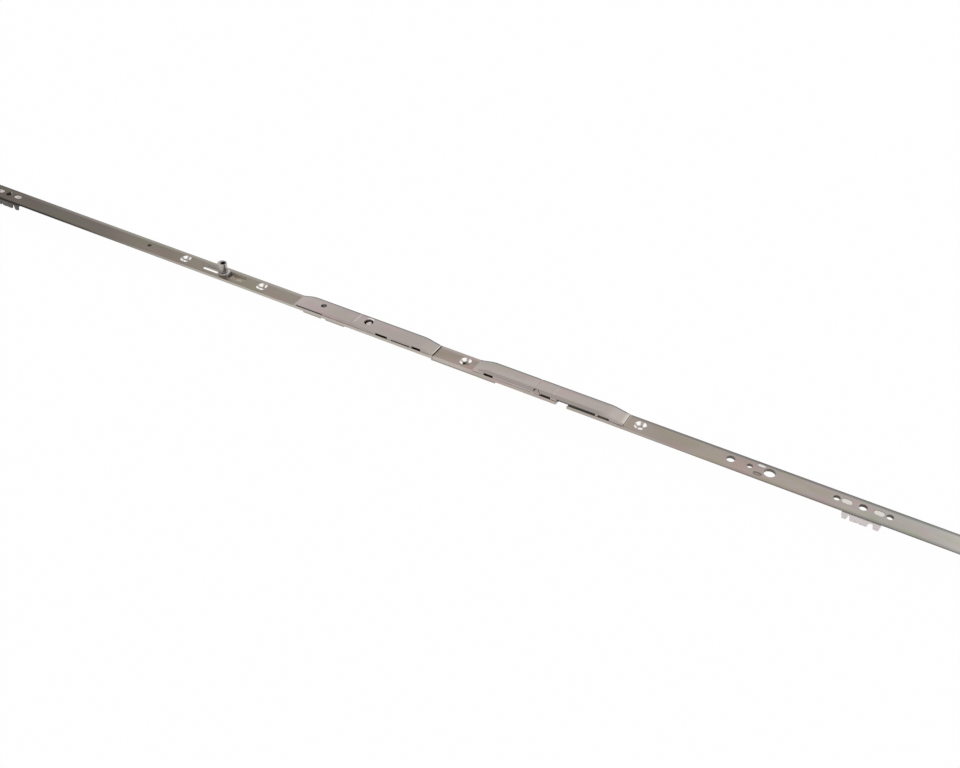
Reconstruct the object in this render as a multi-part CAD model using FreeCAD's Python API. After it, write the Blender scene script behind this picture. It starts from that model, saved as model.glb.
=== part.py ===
import FreeCAD
import Part

import math
import os

# Window espagnolette with a hinged lever, for the fixed-side leaf of a casement pair.
# X runs along the faceplate, Y across it, and Z out of the window rebate towards the hand.
# The origin is on the axis of the middle screw hole, in the plane of the faceplate's back,
# which is the face that seats on the two shoulders of the groove. Sizes are in millimetres.
# It is drawn as it rests: lever shut, both drive rods pushed out.

# Faceplate
PLATE_WIDTH = 16.0
PLATE_THICK = 2.5
PLATE_EDGE_BEVEL = 0.35
PLATE_CORNER_ROUND = 2.0

# Groove behind the faceplate, which everything under the faceplate has to fit
GROOVE_WIDTH = 12.0
GROOVE_CLEARANCE = 0.1

# Places to the left of the middle screw hole, each counted from the one before it
MIDDLE_TO_RIGHT_COVER = 26.0
RIGHT_COVER_LENGTH = 76.9
COVER_SEAM = 0.1
LEFT_COVER_LENGTH = 56.0
SEAM_TO_PINION = 12.9
SEAM_TO_STOP = 31.0
COVER_TO_SCREW = 39.0
SCREW_TO_CAM = 40.0
CAM_TO_SCREW = 42.5
SCREW_TO_BUTTON = 41.5
BUTTON_TO_CLIP = 172.0
CLIP_TO_LEFT_END = 66.0

# Places to the right of the middle screw hole, each counted from the one before it
MIDDLE_TO_HINGE_COVER = 10.0
COVER_TO_HINGE = 55.4
HINGE_TO_NOTCH = 16.6
HINGE_TO_LEVER_END = 70.6
LEVER_TO_SCREW = 11.0
SCREW_TO_PILOT = 69.0
PILOT_TO_PEG_HOLE = 14.0
PEG_HOLE_TO_TONGUE = 4.0
PEG_HOLE_TO_BOSS_HOLE = 14.5
BOSS_HOLE_TO_CLIP = 65.5
CLIP_TO_BUTTON = 70.0
CLIP_TO_RIGHT_END = 130.0

# Both ends
END_TO_SCREW = 15.0
END_TO_ROD = 24.0

# Countersunk screw holes
SCREW_HOLE_RADIUS = 2.5
COUNTERSINK_RADIUS = 4.7
COUNTERSINK_DEPTH = 1.7

# Accessory holes to the right of the lever
PILOT_RADIUS = 3.2
PEG_HOLE_RADIUS = 2.2
TONGUE_SLOT_LENGTH = 6.5
TONGUE_SLOT_OFFSET = 5.1
TONGUE_SLOT_WIDTH = 3.6
BOSS_HOLE_RADIUS = 4.25
ACCESSORY_MARGIN = 3.0

# Plastic clips, which hold the rods in the middle of the plate
CLIP_PEG_OFFSET = 11.0
CLIP_PEG_LENGTH = 7.6
CLIP_PEG_WIDTH = 4.6
CLIP_PEG_SINK = 0.15
CLIP_PEG_CLEARANCE = 0.1
CLIP_HOLE_RADIUS = 3.0
CLIP_SIDE_HOLE_OFFSET = 18.0
CLIP_SIDE_HOLE_RADIUS = 2.5
CLIP_BASE_THICK = 1.5
CLIP_FOOT_DEPTH = 4.1
CLIP_FOOT_WALL = 1.5
CLIP_FOOT_TAPER = 0.9
CLIP_WEB_THICK = 1.2
CLIP_END_FEET = ((-12.0, -7.2), (9.3, 14.6))
CLIP_MIDDLE_FOOT = (-6.5, 6.8)
CLIP_FOOT_NOTCH = 1.2
CLIP_END_HALF_WIDTH = 3.0
CLIP_OPENING_LEFT = 6.0

# Gaps between pieces that slide or turn
SLIDE_GAP = 0.25
SWING_GAP = 0.3
NOSE_GAP = 0.12
RUNNING_GAP = 0.05
PRESS_GAP = 0.02

# Drive rods
ROD_THICK = 2.0
ROD_WIDTH = 10.0
ROD_CORNER_ROUND = 1.0
STRIP_INNER = 2.8
ROD_SLOT_WIDTH = 5.6
WIDE_SLOT_WIDTH = 6.5
OPEN_SIDE_ROUND = 1.5
COUPLING_TOOTH_PITCH = 2.5
COUPLING_TOOTH_DEPTH = 1.0
COUPLING_TOOTH_COUNT = 5
COUPLING_TOOTH_START = 2.0
MIDDLE_TO_ROD_TURN = 24.0
ROD_TURN_LENGTH = 6.0
CENTRE_STRIP_LOW = -1.0
CENTRE_STRIP_HIGH = 2.2
NOTCH_TO_WIDE_ROD = 6.0

# Lever: hinge, toothed sector and swing
LEVER_SWING = 88.0
HINGE_PIN_RADIUS = 0.9
HUB_WALL = 0.5
HUB_RADIUS = 2.3
SECTOR_MODULE = 1.0
SECTOR_TEETH_ROUND = 18
SECTOR_TOOTH_TURNS = (0.5, -0.5, -1.5, -2.5, -3.5, -4.5)
SECTOR_ADDENDUM = 0.8
SECTOR_DEDENDUM = 1.1
SECTOR_FOOT_LENGTH = 12.0
RACK_DEDENDUM = 1.0
TOOTH_BACKLASH = 0.14
PRESSURE_ANGLE = 20.0

# Rack bar, hung under the end of the left rod
RACK_WIDTH = 2.2
RACK_BACK = 1.3
RACK_LAP_TO_HINGE = 23.4
RACK_LAP_LENGTH = 9.0
RACK_LAP_THICK = 2.6
RACK_LAP_BEND = 1.5
RACK_LEFT_TOOTH_COUNT = 6
RACK_RIGHT_TOOTH_COUNT = 1
RACK_RIVET_RADIUS = 0.8
RACK_RIVET_HEAD = 1.1
RACK_RIVET_HEAD_THICK = 0.4
RACK_RIVET_INSET = 2.0
RACK_RIVET_SPACING = 4.0

# Reversing pinion between the two rods
PINION_MODULE = 0.6
PINION_TEETH = 10
PINION_SHIFT = 0.4
PINION_ADDENDUM = 0.85
PINION_DEDENDUM = 1.25
PINION_BORE_RADIUS = 1.25
RACK_RUN_OUT = 3.5
AXLE_SHANK_RADIUS = 2.0
AXLE_BOSS_RADIUS = 2.7
AXLE_BOSS_HEIGHT = 2.8
AXLE_BOSS_BEVEL = 0.5
AXLE_BOSS_DIMPLE = 0.8
AXLE_END_RADIUS = 1.8
AXLE_END_THICK = 0.5
WASHER_RADIUS = 3.4
WASHER_THICK = 0.6

# Pressed covers and lever, all of one channel section
SHEET = 1.0
COVER_WIDTH = 14.8
COVER_HEIGHT = 3.8
COVER_BEND_ROUND = 1.3
RAMP_LIP = 0.9
RAMP_BEND_ROUND = 30.0
LEFT_COVER_RAMP = 11.0
RIGHT_COVER_RAMP = 13.0
HINGE_COVER_RAMP = 12.0
LEVER_RAMP = 13.0
LEVER_NOSE = 2.2
LEVER_NOSE_HALF_WIDTH = 6.1
HINGE_TO_PAD = 12.6
LEVER_PAD_LENGTH = 41.0
LEVER_PAD_WIDTH = 9.0
LEVER_PAD_DEPTH = 0.12
LEFT_COVER_HOLE_RADIUS = 2.5
RIGHT_COVER_HOLE_RADIUS = 3.8

# Windows at the foot of the flanges, counted from each cover's left end and from the hinge
WINDOW_HEIGHT = 2.0
GAP_HEIGHT = 0.9
LEFT_COVER_GAP = (2.0, 28.0)
RIGHT_COVER_GAP = (38.9, 55.9)
RIGHT_COVER_WINDOWS = ((23.9, 34.9), (57.9, 65.9))
HINGE_COVER_WINDOWS = ((10.0, 18.0),)
LEVER_WINDOWS = ((50.6, 59.6),)
LEVER_HINGE_WINDOW = 11.6

# Tabs of the covers, counted from each cover's left end
TAB_LENGTH = 6.0
TAB_GAP = 0.1
TAB_SINK = 0.3
LEFT_COVER_TABS = (34.0, 46.0)
RIGHT_COVER_TABS = (5.9, 18.9, 69.9)
HINGE_COVER_TABS = (3.0, 31.0)

# Finger notch in the near edge of the faceplate and lever, with a slit beside it
NOTCH_LENGTH = 9.0
NOTCH_DEPTH = 4.8
NOTCH_CORNER_ROUND = 1.2
NOTCH_LEVER_HEIGHT = 2.2
SLIT_LENGTH = 23.0
SLIT_RAIL = 0.7
SLIT_WIDTH = 1.9
SLIT_LEVER_HEIGHT = 2.1

# Stop pin for the travel of the left rod
STOP_RADIUS = 2.0
STOP_BEVEL = 0.6
STOP_COLLAR_RADIUS = 3.2
STOP_COLLAR_HEIGHT = 1.0
STOP_HEIGHT = 3.1

# Roller cam on the left rod, and the slot in the faceplate that it runs in
CAM_SLOT_LEFT = 23.0
CAM_SLOT_RIGHT = 23.0
CAM_SLOT_WIDTH = 8.0
CAM_TAIL_RADIUS = 2.6
CAM_SHOULDER_RADIUS = 3.3
CAM_FLANGE_RADIUS = 5.0
CAM_FLANGE_THICK = 1.0
CAM_BOLT_RADIUS = 1.7
CAM_ECCENTRICITY = -1.2
CAM_POST_RADIUS = 3.0
CAM_ROLLER_RADIUS = 4.0
CAM_ROLLER_LENGTH = 6.0
CAM_ROLLER_BEVEL = 0.4
CAM_HEAD_THICK = 2.2
CAM_HEAD_BEVEL = 0.4
CAM_HEX_ACROSS = 3.5
CAM_HEX_DEPTH = 1.9
CAM_TO_SIGHT_SLOT = 8.0
SIGHT_SLOT_LENGTH = 24.0
CAM_TO_SCREW_SLOT = 17.5
CAM_TO_ROD_PEG_HOLE = 7.5
ROD_PEG_HOLE_RADIUS = 1.5

# Guides and keepers under the faceplate
GUIDE_WALL = 0.65
GUIDE_FLOOR = 0.7
MIDDLE_GUIDE_FLOOR = 1.2
MIDDLE_GUIDE_LEFT = 28.0
MIDDLE_GUIDE_RIGHT = 29.0
LEFT_GUIDE_TO_STOP = 17.5
LEFT_GUIDE_LENGTH = 17.5
PINION_GUIDE_TO_PINION = 39.2
PINION_GUIDE_LENGTH = 18.1
GUIDE_SCREW_RADIUS = 2.8
LAP_TO_RACK_CASE = 3.0
RACK_CASE_LENGTH = 30.0
RACK_CASE_WALL = 0.6
BUTTON_NECK_RADIUS = 1.9
BUTTON_RADIUS = 3.6
BUTTON_THICK = 0.8
BUTTON_SINK = 1.4
CATCH_TO_LEVER_END = 31.0
CATCH_LENGTH = 21.0
CATCH_SHEET = 0.5
CATCH_PRONG_INSET = 10.0
CATCH_PRONG_LENGTH = 8.0
CATCH_PRONG_HEIGHT = 2.3
CATCH_STUD_INSET = 5.0
CATCH_STUD_HEAD = 3.0
CATCH_STUD_HEAD_THICK = 0.6

# Places along X that follow from the chains above
SCREW_AT_MIDDLE = 0.0
RIGHT_COVER_TO = SCREW_AT_MIDDLE - MIDDLE_TO_RIGHT_COVER
RIGHT_COVER_FROM = RIGHT_COVER_TO - RIGHT_COVER_LENGTH
LEFT_COVER_TO = RIGHT_COVER_FROM - COVER_SEAM
LEFT_COVER_FROM = LEFT_COVER_TO - LEFT_COVER_LENGTH
PINION_AT = RIGHT_COVER_FROM + SEAM_TO_PINION
STOP_AT = LEFT_COVER_TO - SEAM_TO_STOP
SCREW_RIGHT_OF_CAM = LEFT_COVER_FROM - COVER_TO_SCREW
CAM_AT = SCREW_RIGHT_OF_CAM - SCREW_TO_CAM
CAM_SLOT_FROM = CAM_AT - CAM_SLOT_LEFT
CAM_SLOT_TO = CAM_AT + CAM_SLOT_RIGHT
SCREW_LEFT_OF_CAM = CAM_AT - CAM_TO_SCREW
BUTTON_AT_LEFT = SCREW_LEFT_OF_CAM - SCREW_TO_BUTTON
CLIP_AT_LEFT = BUTTON_AT_LEFT - BUTTON_TO_CLIP
PLATE_LEFT = CLIP_AT_LEFT - CLIP_TO_LEFT_END
HINGE_COVER_FROM = SCREW_AT_MIDDLE + MIDDLE_TO_HINGE_COVER
HINGE_AT = HINGE_COVER_FROM + COVER_TO_HINGE
NOTCH_FROM = HINGE_AT + HINGE_TO_NOTCH
NOTCH_TO = NOTCH_FROM + NOTCH_LENGTH
SLIT_TO = NOTCH_TO + SLIT_LENGTH
LEVER_TO = HINGE_AT + HINGE_TO_LEVER_END
SCREW_RIGHT_OF_LEVER = LEVER_TO + LEVER_TO_SCREW
PILOT_AT = SCREW_RIGHT_OF_LEVER + SCREW_TO_PILOT
PEG_HOLE_AT = PILOT_AT + PILOT_TO_PEG_HOLE
TONGUE_SLOT_FROM = PEG_HOLE_AT + PEG_HOLE_TO_TONGUE
BOSS_HOLE_AT = PEG_HOLE_AT + PEG_HOLE_TO_BOSS_HOLE
CLIP_AT_RIGHT = BOSS_HOLE_AT + BOSS_HOLE_TO_CLIP
BUTTON_AT_RIGHT = CLIP_AT_RIGHT + CLIP_TO_BUTTON
PLATE_RIGHT = CLIP_AT_RIGHT + CLIP_TO_RIGHT_END
SCREW_AT_LEFT_END = PLATE_LEFT + END_TO_SCREW
SCREW_AT_RIGHT_END = PLATE_RIGHT - END_TO_SCREW
LEFT_ROD_END = PLATE_LEFT + END_TO_ROD
RIGHT_ROD_END = PLATE_RIGHT - END_TO_ROD
ROD_TURN_AT = SCREW_AT_MIDDLE + MIDDLE_TO_ROD_TURN
RACK_LAP_TO = HINGE_AT - RACK_LAP_TO_HINGE
RACK_LAP_FROM = RACK_LAP_TO - RACK_LAP_LENGTH
CATCH_FROM = LEVER_TO - CATCH_TO_LEVER_END
CATCH_STUD_AT = CATCH_FROM + CATCH_STUD_INSET
SCREWS = (
    SCREW_AT_LEFT_END,
    SCREW_LEFT_OF_CAM,
    SCREW_RIGHT_OF_CAM,
    SCREW_AT_MIDDLE,
    SCREW_RIGHT_OF_LEVER,
    SCREW_AT_RIGHT_END,
)

# Other sizes that follow from the ones above
PLATE_HALF = PLATE_WIDTH / 2
GROOVE_HALF = GROOVE_WIDTH / 2 - GROOVE_CLEARANCE
ROD_HALF = ROD_WIDTH / 2
ROD_TOP = -SLIDE_GAP
ROD_BOTTOM = ROD_TOP - ROD_THICK
FLOOR_TOP = ROD_BOTTOM - SLIDE_GAP
COVER_HALF = COVER_WIDTH / 2
COVER_TOP = PLATE_THICK + COVER_HEIGHT
COVER_UNDER = COVER_TOP - SHEET
COVER_INNER_HALF = COVER_HALF - SHEET
HINGE_HEIGHT = COVER_UNDER - HUB_WALL - HINGE_PIN_RADIUS
EAR_RADIUS = COVER_TOP - HINGE_HEIGHT
NOSE_REACH = math.hypot(LEVER_NOSE, COVER_TOP - HINGE_HEIGHT)
SECTOR_RADIUS = SECTOR_MODULE * SECTOR_TEETH_ROUND / 2
SECTOR_TIP = SECTOR_RADIUS + SECTOR_ADDENDUM * SECTOR_MODULE
SECTOR_PITCH = 360.0 / SECTOR_TEETH_ROUND
RACK_PITCH = math.pi * SECTOR_MODULE
RACK_LINE = HINGE_HEIGHT - SECTOR_RADIUS
RACK_ROOT = RACK_LINE - RACK_DEDENDUM * SECTOR_MODULE
RACK_BOTTOM = RACK_ROOT - RACK_BACK
RACK_INNER = STRIP_INNER
RACK_OUTER = STRIP_INNER + RACK_WIDTH
PINION_RADIUS = PINION_MODULE * PINION_TEETH / 2
PINION_LINE = PINION_RADIUS + PINION_SHIFT * PINION_MODULE
TRAVEL = SECTOR_RADIUS * math.radians(LEVER_SWING)
CENTRE_STRIP_END = NOTCH_TO + TRAVEL + NOTCH_TO_WIDE_ROD
TOUCH = 1e-6
HEXAGON_RATIO = math.sqrt(3)
CUT = 1.0
FAR = 40.0
QUARTER = 90.0
HEXAGON_SIDES = 6


def point(x, y, z):
    return FreeCAD.Vector(x, y, z)


def box(x0, x1, y0, y1, z0, z1):
    return Part.makeBox(x1 - x0, y1 - y0, z1 - z0, point(x0, y0, z0))


def disc(x, y, radius, z0, z1):
    return Part.makeCylinder(radius, z1 - z0, point(x, y, z0))


def cone(x, y, radius0, radius1, z0, z1):
    return Part.makeCone(radius0, radius1, z1 - z0, point(x, y, z0))


def bevelled_disc(x, radius, z0, z1, bevel):
    """A cylinder on the middle line with a bevel round its top edge."""
    straight = disc(x, 0, radius, z0, z1 - bevel)
    return join(straight, cone(x, 0, radius, radius - bevel, z1 - bevel, z1))


def cross_disc(x, z, radius, y0, y1):
    """A cylinder whose axis runs across the faceplate."""
    return Part.makeCylinder(radius, y1 - y0, point(x, y0, z), point(0, 1, 0))


def oval(x0, x1, y, width, z0, z1):
    """A prism with two straight sides along X and round ends."""
    r = width / 2
    a = x0 + r
    b = x1 - r
    edges = [
        Part.LineSegment(point(a, y - r, z0), point(b, y - r, z0)).toShape(),
        Part.Arc(point(b, y - r, z0), point(x1, y, z0), point(b, y + r, z0)).toShape(),
        Part.LineSegment(point(b, y + r, z0), point(a, y + r, z0)).toShape(),
        Part.Arc(point(a, y + r, z0), point(x0, y, z0), point(a, y - r, z0)).toShape(),
    ]
    return Part.Face(Part.Wire(edges)).extrude(point(0, 0, z1 - z0))


def plan_prism(outline, z0, z1):
    """An outline of (x, y) points, raised from z0 to z1."""
    corners = [point(x, y, z0) for x, y in outline]
    return Part.Face(Part.makePolygon(corners + corners[:1])).extrude(point(0, 0, z1 - z0))


def side_prism(outline, y0, y1):
    """An outline of (x, z) points, carried across from y0 to y1."""
    corners = [point(x, y0, z) for x, z in outline]
    return Part.Face(Part.makePolygon(corners + corners[:1])).extrude(point(0, y1 - y0, 0))


def join(first, *others):
    return first.fuse(list(others)).removeSplitter()


def cut(body, *tools):
    return body.cut(list(tools)).removeSplitter()


def mirrored(shape):
    """The same shape on the other side of the faceplate's middle line."""
    return shape.mirror(point(0, 0, 0), point(0, 1, 0))


def both_sides(shape):
    return [shape, mirrored(shape)]


def edges_where(shape, test):
    return [edge for edge in shape.Edges if test(edge)]


def is_straight(edge, axis):
    """True if an edge is a straight line along the named axis."""
    ends = [vertex.Point for vertex in edge.Vertexes]
    if len(ends) != 2 or not isinstance(edge.Curve, (Part.Line, Part.LineSegment)):
        return False
    along = ends[1] - ends[0]
    return abs(abs(getattr(along, axis)) - edge.Length) < TOUCH


# Gear teeth

def involute(angle):
    return math.tan(angle) - angle


def polar(radius, angle):
    return point(radius * math.cos(angle), radius * math.sin(angle), 0)


def gear_tooth(module, teeth, shift, addendum, dedendum, width):
    """One involute tooth about the Z axis, pointing along +X, with its root sunk into the blank."""
    pressure = math.radians(PRESSURE_ANGLE)
    radius = module * teeth / 2
    base = radius * math.cos(pressure)
    tip = radius + module * (addendum + shift)
    root = radius - module * (dedendum - shift)
    thick = module * (math.pi / 2 + 2 * shift * math.tan(pressure)) - TOOTH_BACKLASH / 2
    start = thick / (2 * radius) + involute(pressure)

    def half_angle(at):
        return start - involute(math.acos(min(1.0, base / at)))

    low = max(base, root)
    mid = (low + tip) / 2
    foot = root - module / 4
    flank = [polar(at, half_angle(at)) for at in (low, mid, tip)]
    other = [point(p.x, -p.y, 0) for p in flank]
    inner = polar(foot, half_angle(low))
    inner_other = point(inner.x, -inner.y, 0)
    edges = [
        Part.LineSegment(inner_other, other[0]).toShape(),
        Part.Arc(*other).toShape(),
        Part.Arc(other[2], polar(tip, 0), flank[2]).toShape(),
        Part.Arc(flank[2], flank[1], flank[0]).toShape(),
        Part.LineSegment(flank[0], inner).toShape(),
        Part.LineSegment(inner, inner_other).toShape(),
    ]
    return Part.Face(Part.Wire(edges)).extrude(point(0, 0, width))


def turned(shape, degrees):
    """The shape turned about the Z axis through the origin."""
    copy = shape.copy()
    copy.rotate(point(0, 0, 0), point(0, 0, 1), degrees)
    return copy


def rack_teeth(first, count, pitch, line, addendum, dedendum, outward):
    """Points of a straight row of teeth along X. The teeth point away from the back by outward."""
    slope = math.tan(math.radians(PRESSURE_ANGLE))
    half = (pitch - TOOTH_BACKLASH) / 4
    half_tip = half - addendum * slope
    half_root = half + dedendum * slope
    tip = line + outward * addendum
    root = line - outward * dedendum
    outline = []
    for i in range(count):
        centre = first + i * pitch
        outline.append((centre - half_root, root))
        outline.append((centre - half_tip, tip))
        outline.append((centre + half_tip, tip))
        outline.append((centre + half_root, root))
    return outline


# Faceplate

def screw_hole(x):
    through = disc(x, 0, SCREW_HOLE_RADIUS, -CUT, PLATE_THICK + CUT)
    floor = PLATE_THICK - COUNTERSINK_DEPTH
    sink = cone(x, 0, SCREW_HOLE_RADIUS, COUNTERSINK_RADIUS, floor, PLATE_THICK)
    return join(through, sink)


def clip_holes(x):
    low = -CUT
    high = PLATE_THICK + CUT
    length = CLIP_PEG_LENGTH + 2 * CLIP_PEG_CLEARANCE
    width = CLIP_PEG_WIDTH + 2 * CLIP_PEG_CLEARANCE
    holes = [disc(x, 0, CLIP_HOLE_RADIUS, low, high)]
    for side in (-1, 1):
        centre = x + side * CLIP_PEG_OFFSET
        holes.append(oval(centre - length / 2, centre + length / 2, 0, width, low, high))
    return holes


def accessory_holes():
    low = -CUT
    high = PLATE_THICK + CUT
    holes = [
        disc(PILOT_AT, 0, PILOT_RADIUS, low, high),
        disc(PEG_HOLE_AT, 0, PEG_HOLE_RADIUS, low, high),
        disc(BOSS_HOLE_AT, 0, BOSS_HOLE_RADIUS, low, high),
    ]
    for side in (-1, 1):
        y = side * TONGUE_SLOT_OFFSET
        end = TONGUE_SLOT_FROM + TONGUE_SLOT_LENGTH
        holes.append(oval(TONGUE_SLOT_FROM, end, y, TONGUE_SLOT_WIDTH, low, high))
    return holes


def tab_slots():
    """Slots in the faceplate for the tabs of the three fixed covers."""
    length = TAB_LENGTH / 2 + TAB_GAP
    slots = []
    places = [LEFT_COVER_FROM + x for x in LEFT_COVER_TABS]
    places += [RIGHT_COVER_FROM + x for x in RIGHT_COVER_TABS]
    places += [HINGE_COVER_FROM + x for x in HINGE_COVER_TABS]
    for x in places:
        near = box(
            x - length,
            x + length,
            COVER_INNER_HALF - TAB_GAP,
            COVER_HALF + TAB_GAP,
            -CUT,
            PLATE_THICK + CUT,
        )
        slots += both_sides(near)
    return slots


def hinge_windows():
    """The window that the toothed sector swings through, and the one under the hinge."""
    reach = SECTOR_TIP + SWING_GAP
    sector = box(
        HINGE_AT - reach,
        HINGE_AT + reach,
        RACK_INNER - SWING_GAP,
        RACK_OUTER + SWING_GAP,
        -CUT,
        PLATE_THICK + CUT,
    )
    back = HINGE_AT - NOSE_REACH - SWING_GAP
    front = HINGE_AT + EAR_RADIUS + SWING_GAP
    width = LEVER_NOSE_HALF_WIDTH + SLIDE_GAP
    knuckle = box(back, front, -width, width, -CUT, PLATE_THICK + CUT)
    return [sector, knuckle]


def finger_notch():
    """The notch in the near edge, and the slit beside it behind a narrow rail."""
    near = -PLATE_HALF
    notch = box(NOTCH_FROM, NOTCH_TO, near - CUT, near + NOTCH_DEPTH, -CUT, PLATE_THICK + CUT)
    inner = edges_where(notch, lambda e: is_straight(e, "z") and e.Vertexes[0].Y > near)
    notch = notch.makeFillet(NOTCH_CORNER_ROUND, inner)
    slit = box(
        NOTCH_TO - CUT,
        SLIT_TO,
        near + SLIT_RAIL,
        near + SLIT_RAIL + SLIT_WIDTH,
        -CUT,
        PLATE_THICK + CUT,
    )
    return [notch, slit]


def plate_blank():
    """The rolled strip with bevelled long edges, cut off with rounded corners."""
    low = PLATE_HALF - PLATE_EDGE_BEVEL
    high = PLATE_THICK - PLATE_EDGE_BEVEL
    section = [
        point(PLATE_LEFT, -PLATE_HALF, 0),
        point(PLATE_LEFT, PLATE_HALF, 0),
        point(PLATE_LEFT, PLATE_HALF, high),
        point(PLATE_LEFT, low, PLATE_THICK),
        point(PLATE_LEFT, -low, PLATE_THICK),
        point(PLATE_LEFT, -PLATE_HALF, high),
    ]
    face = Part.Face(Part.makePolygon(section + section[:1]))
    strip = face.extrude(point(PLATE_RIGHT - PLATE_LEFT, 0, 0))
    outline = box(PLATE_LEFT, PLATE_RIGHT, -PLATE_HALF, PLATE_HALF, 0, PLATE_THICK)
    corners = edges_where(outline, lambda e: is_straight(e, "z"))
    return strip.common(outline.makeFillet(PLATE_CORNER_ROUND, corners))


def make_faceplate():
    plate = plate_blank()
    low = -CUT
    high = PLATE_THICK + CUT
    holes = [screw_hole(x) for x in SCREWS]
    holes += clip_holes(CLIP_AT_LEFT) + clip_holes(CLIP_AT_RIGHT)
    for side in (-1, 1):
        x = CLIP_AT_RIGHT + side * CLIP_SIDE_HOLE_OFFSET
        holes.append(disc(x, 0, CLIP_SIDE_HOLE_RADIUS, low, high))
    holes += accessory_holes()
    holes.append(oval(CAM_SLOT_FROM, CAM_SLOT_TO, 0, CAM_SLOT_WIDTH, low, high))
    for x in (BUTTON_AT_LEFT, BUTTON_AT_RIGHT, CATCH_STUD_AT):
        holes.append(disc(x, 0, BUTTON_NECK_RADIUS + PRESS_GAP, low, high))
    holes.append(disc(PINION_AT, 0, AXLE_SHANK_RADIUS + PRESS_GAP, low, high))
    holes.append(disc(STOP_AT, 0, STOP_RADIUS + PRESS_GAP, low, high))
    holes += tab_slots() + hinge_windows() + finger_notch()
    return cut(plate, *holes)


# Drive rods

def rod_slot(x0, x1, width):
    return oval(x0, x1, 0, width, ROD_BOTTOM - CUT, ROD_TOP + CUT)


def travel_slot(x, half_length, width, direction):
    """A slot that lets a fixed piece at x pass while the rod runs its travel in a direction."""
    reach = half_length + SWING_GAP
    if direction > 0:
        return rod_slot(x - reach - TRAVEL, x + reach, width)
    return rod_slot(x - reach, x + reach + TRAVEL, width)


def clip_slot(x, direction):
    half = CLIP_PEG_OFFSET + CLIP_PEG_LENGTH / 2
    return travel_slot(x, half, CLIP_PEG_WIDTH + 2 * SLIDE_GAP, direction)


def coupling_notches(end, direction):
    """Toothed edges at the end of a rod, which the next drive piece is hooked into."""
    notches = []
    for i in range(COUPLING_TOOTH_COUNT):
        x = end + direction * (COUPLING_TOOTH_START + i * COUPLING_TOOTH_PITCH)
        outline = [
            (x - COUPLING_TOOTH_DEPTH, ROD_HALF + CUT),
            (x - COUPLING_TOOTH_DEPTH / 2, ROD_HALF - COUPLING_TOOTH_DEPTH),
            (x + COUPLING_TOOTH_DEPTH / 2, ROD_HALF - COUPLING_TOOTH_DEPTH),
            (x + COUPLING_TOOTH_DEPTH, ROD_HALF + CUT),
        ]
        notches += both_sides(plan_prism(outline, ROD_BOTTOM - CUT, ROD_TOP + CUT))
    return notches


def pinion_rack(side, direction):
    """The toothed edge that meshes with the pinion, on one side, for a rod that runs in a direction."""
    pitch = math.pi * PINION_MODULE
    addendum = PINION_MODULE * PINION_ADDENDUM
    dedendum = PINION_MODULE * PINION_DEDENDUM
    travel = TRAVEL * direction
    left = min(0.0, -travel) - RACK_RUN_OUT
    right = max(0.0, -travel) + RACK_RUN_OUT
    first = math.ceil(left / pitch - 0.5) + 0.5
    last = math.floor(right / pitch - 0.5) + 0.5
    count = int(last - first) + 1
    root = PINION_LINE + dedendum
    teeth = rack_teeth(
        PINION_AT + first * pitch, count, pitch, PINION_LINE, addendum, dedendum, -1
    )
    outline = [(PINION_AT + left, ROD_HALF), (PINION_AT + left, root)]
    outline += teeth
    outline += [(PINION_AT + right, root), (PINION_AT + right, ROD_HALF)]
    bar = plan_prism(outline, ROD_BOTTOM, ROD_TOP)
    gap = box(
        PINION_AT + left,
        PINION_AT + right,
        STRIP_INNER - CUT,
        ROD_HALF + CUT,
        ROD_BOTTOM - CUT,
        ROD_TOP + CUT,
    )
    if side < 0:
        return mirrored(bar), mirrored(gap)
    return bar, gap


def rod_blank(x0, x1, y0, y1):
    return box(x0, x1, y0, y1, ROD_BOTTOM, ROD_TOP)


def left_rod_body_end():
    """Where the left rod narrows to a strip: clear of the end of the right rod when both are drawn in."""
    return PINION_AT - RACK_RUN_OUT - 2 * TRAVEL - SWING_GAP - CUT


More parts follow.
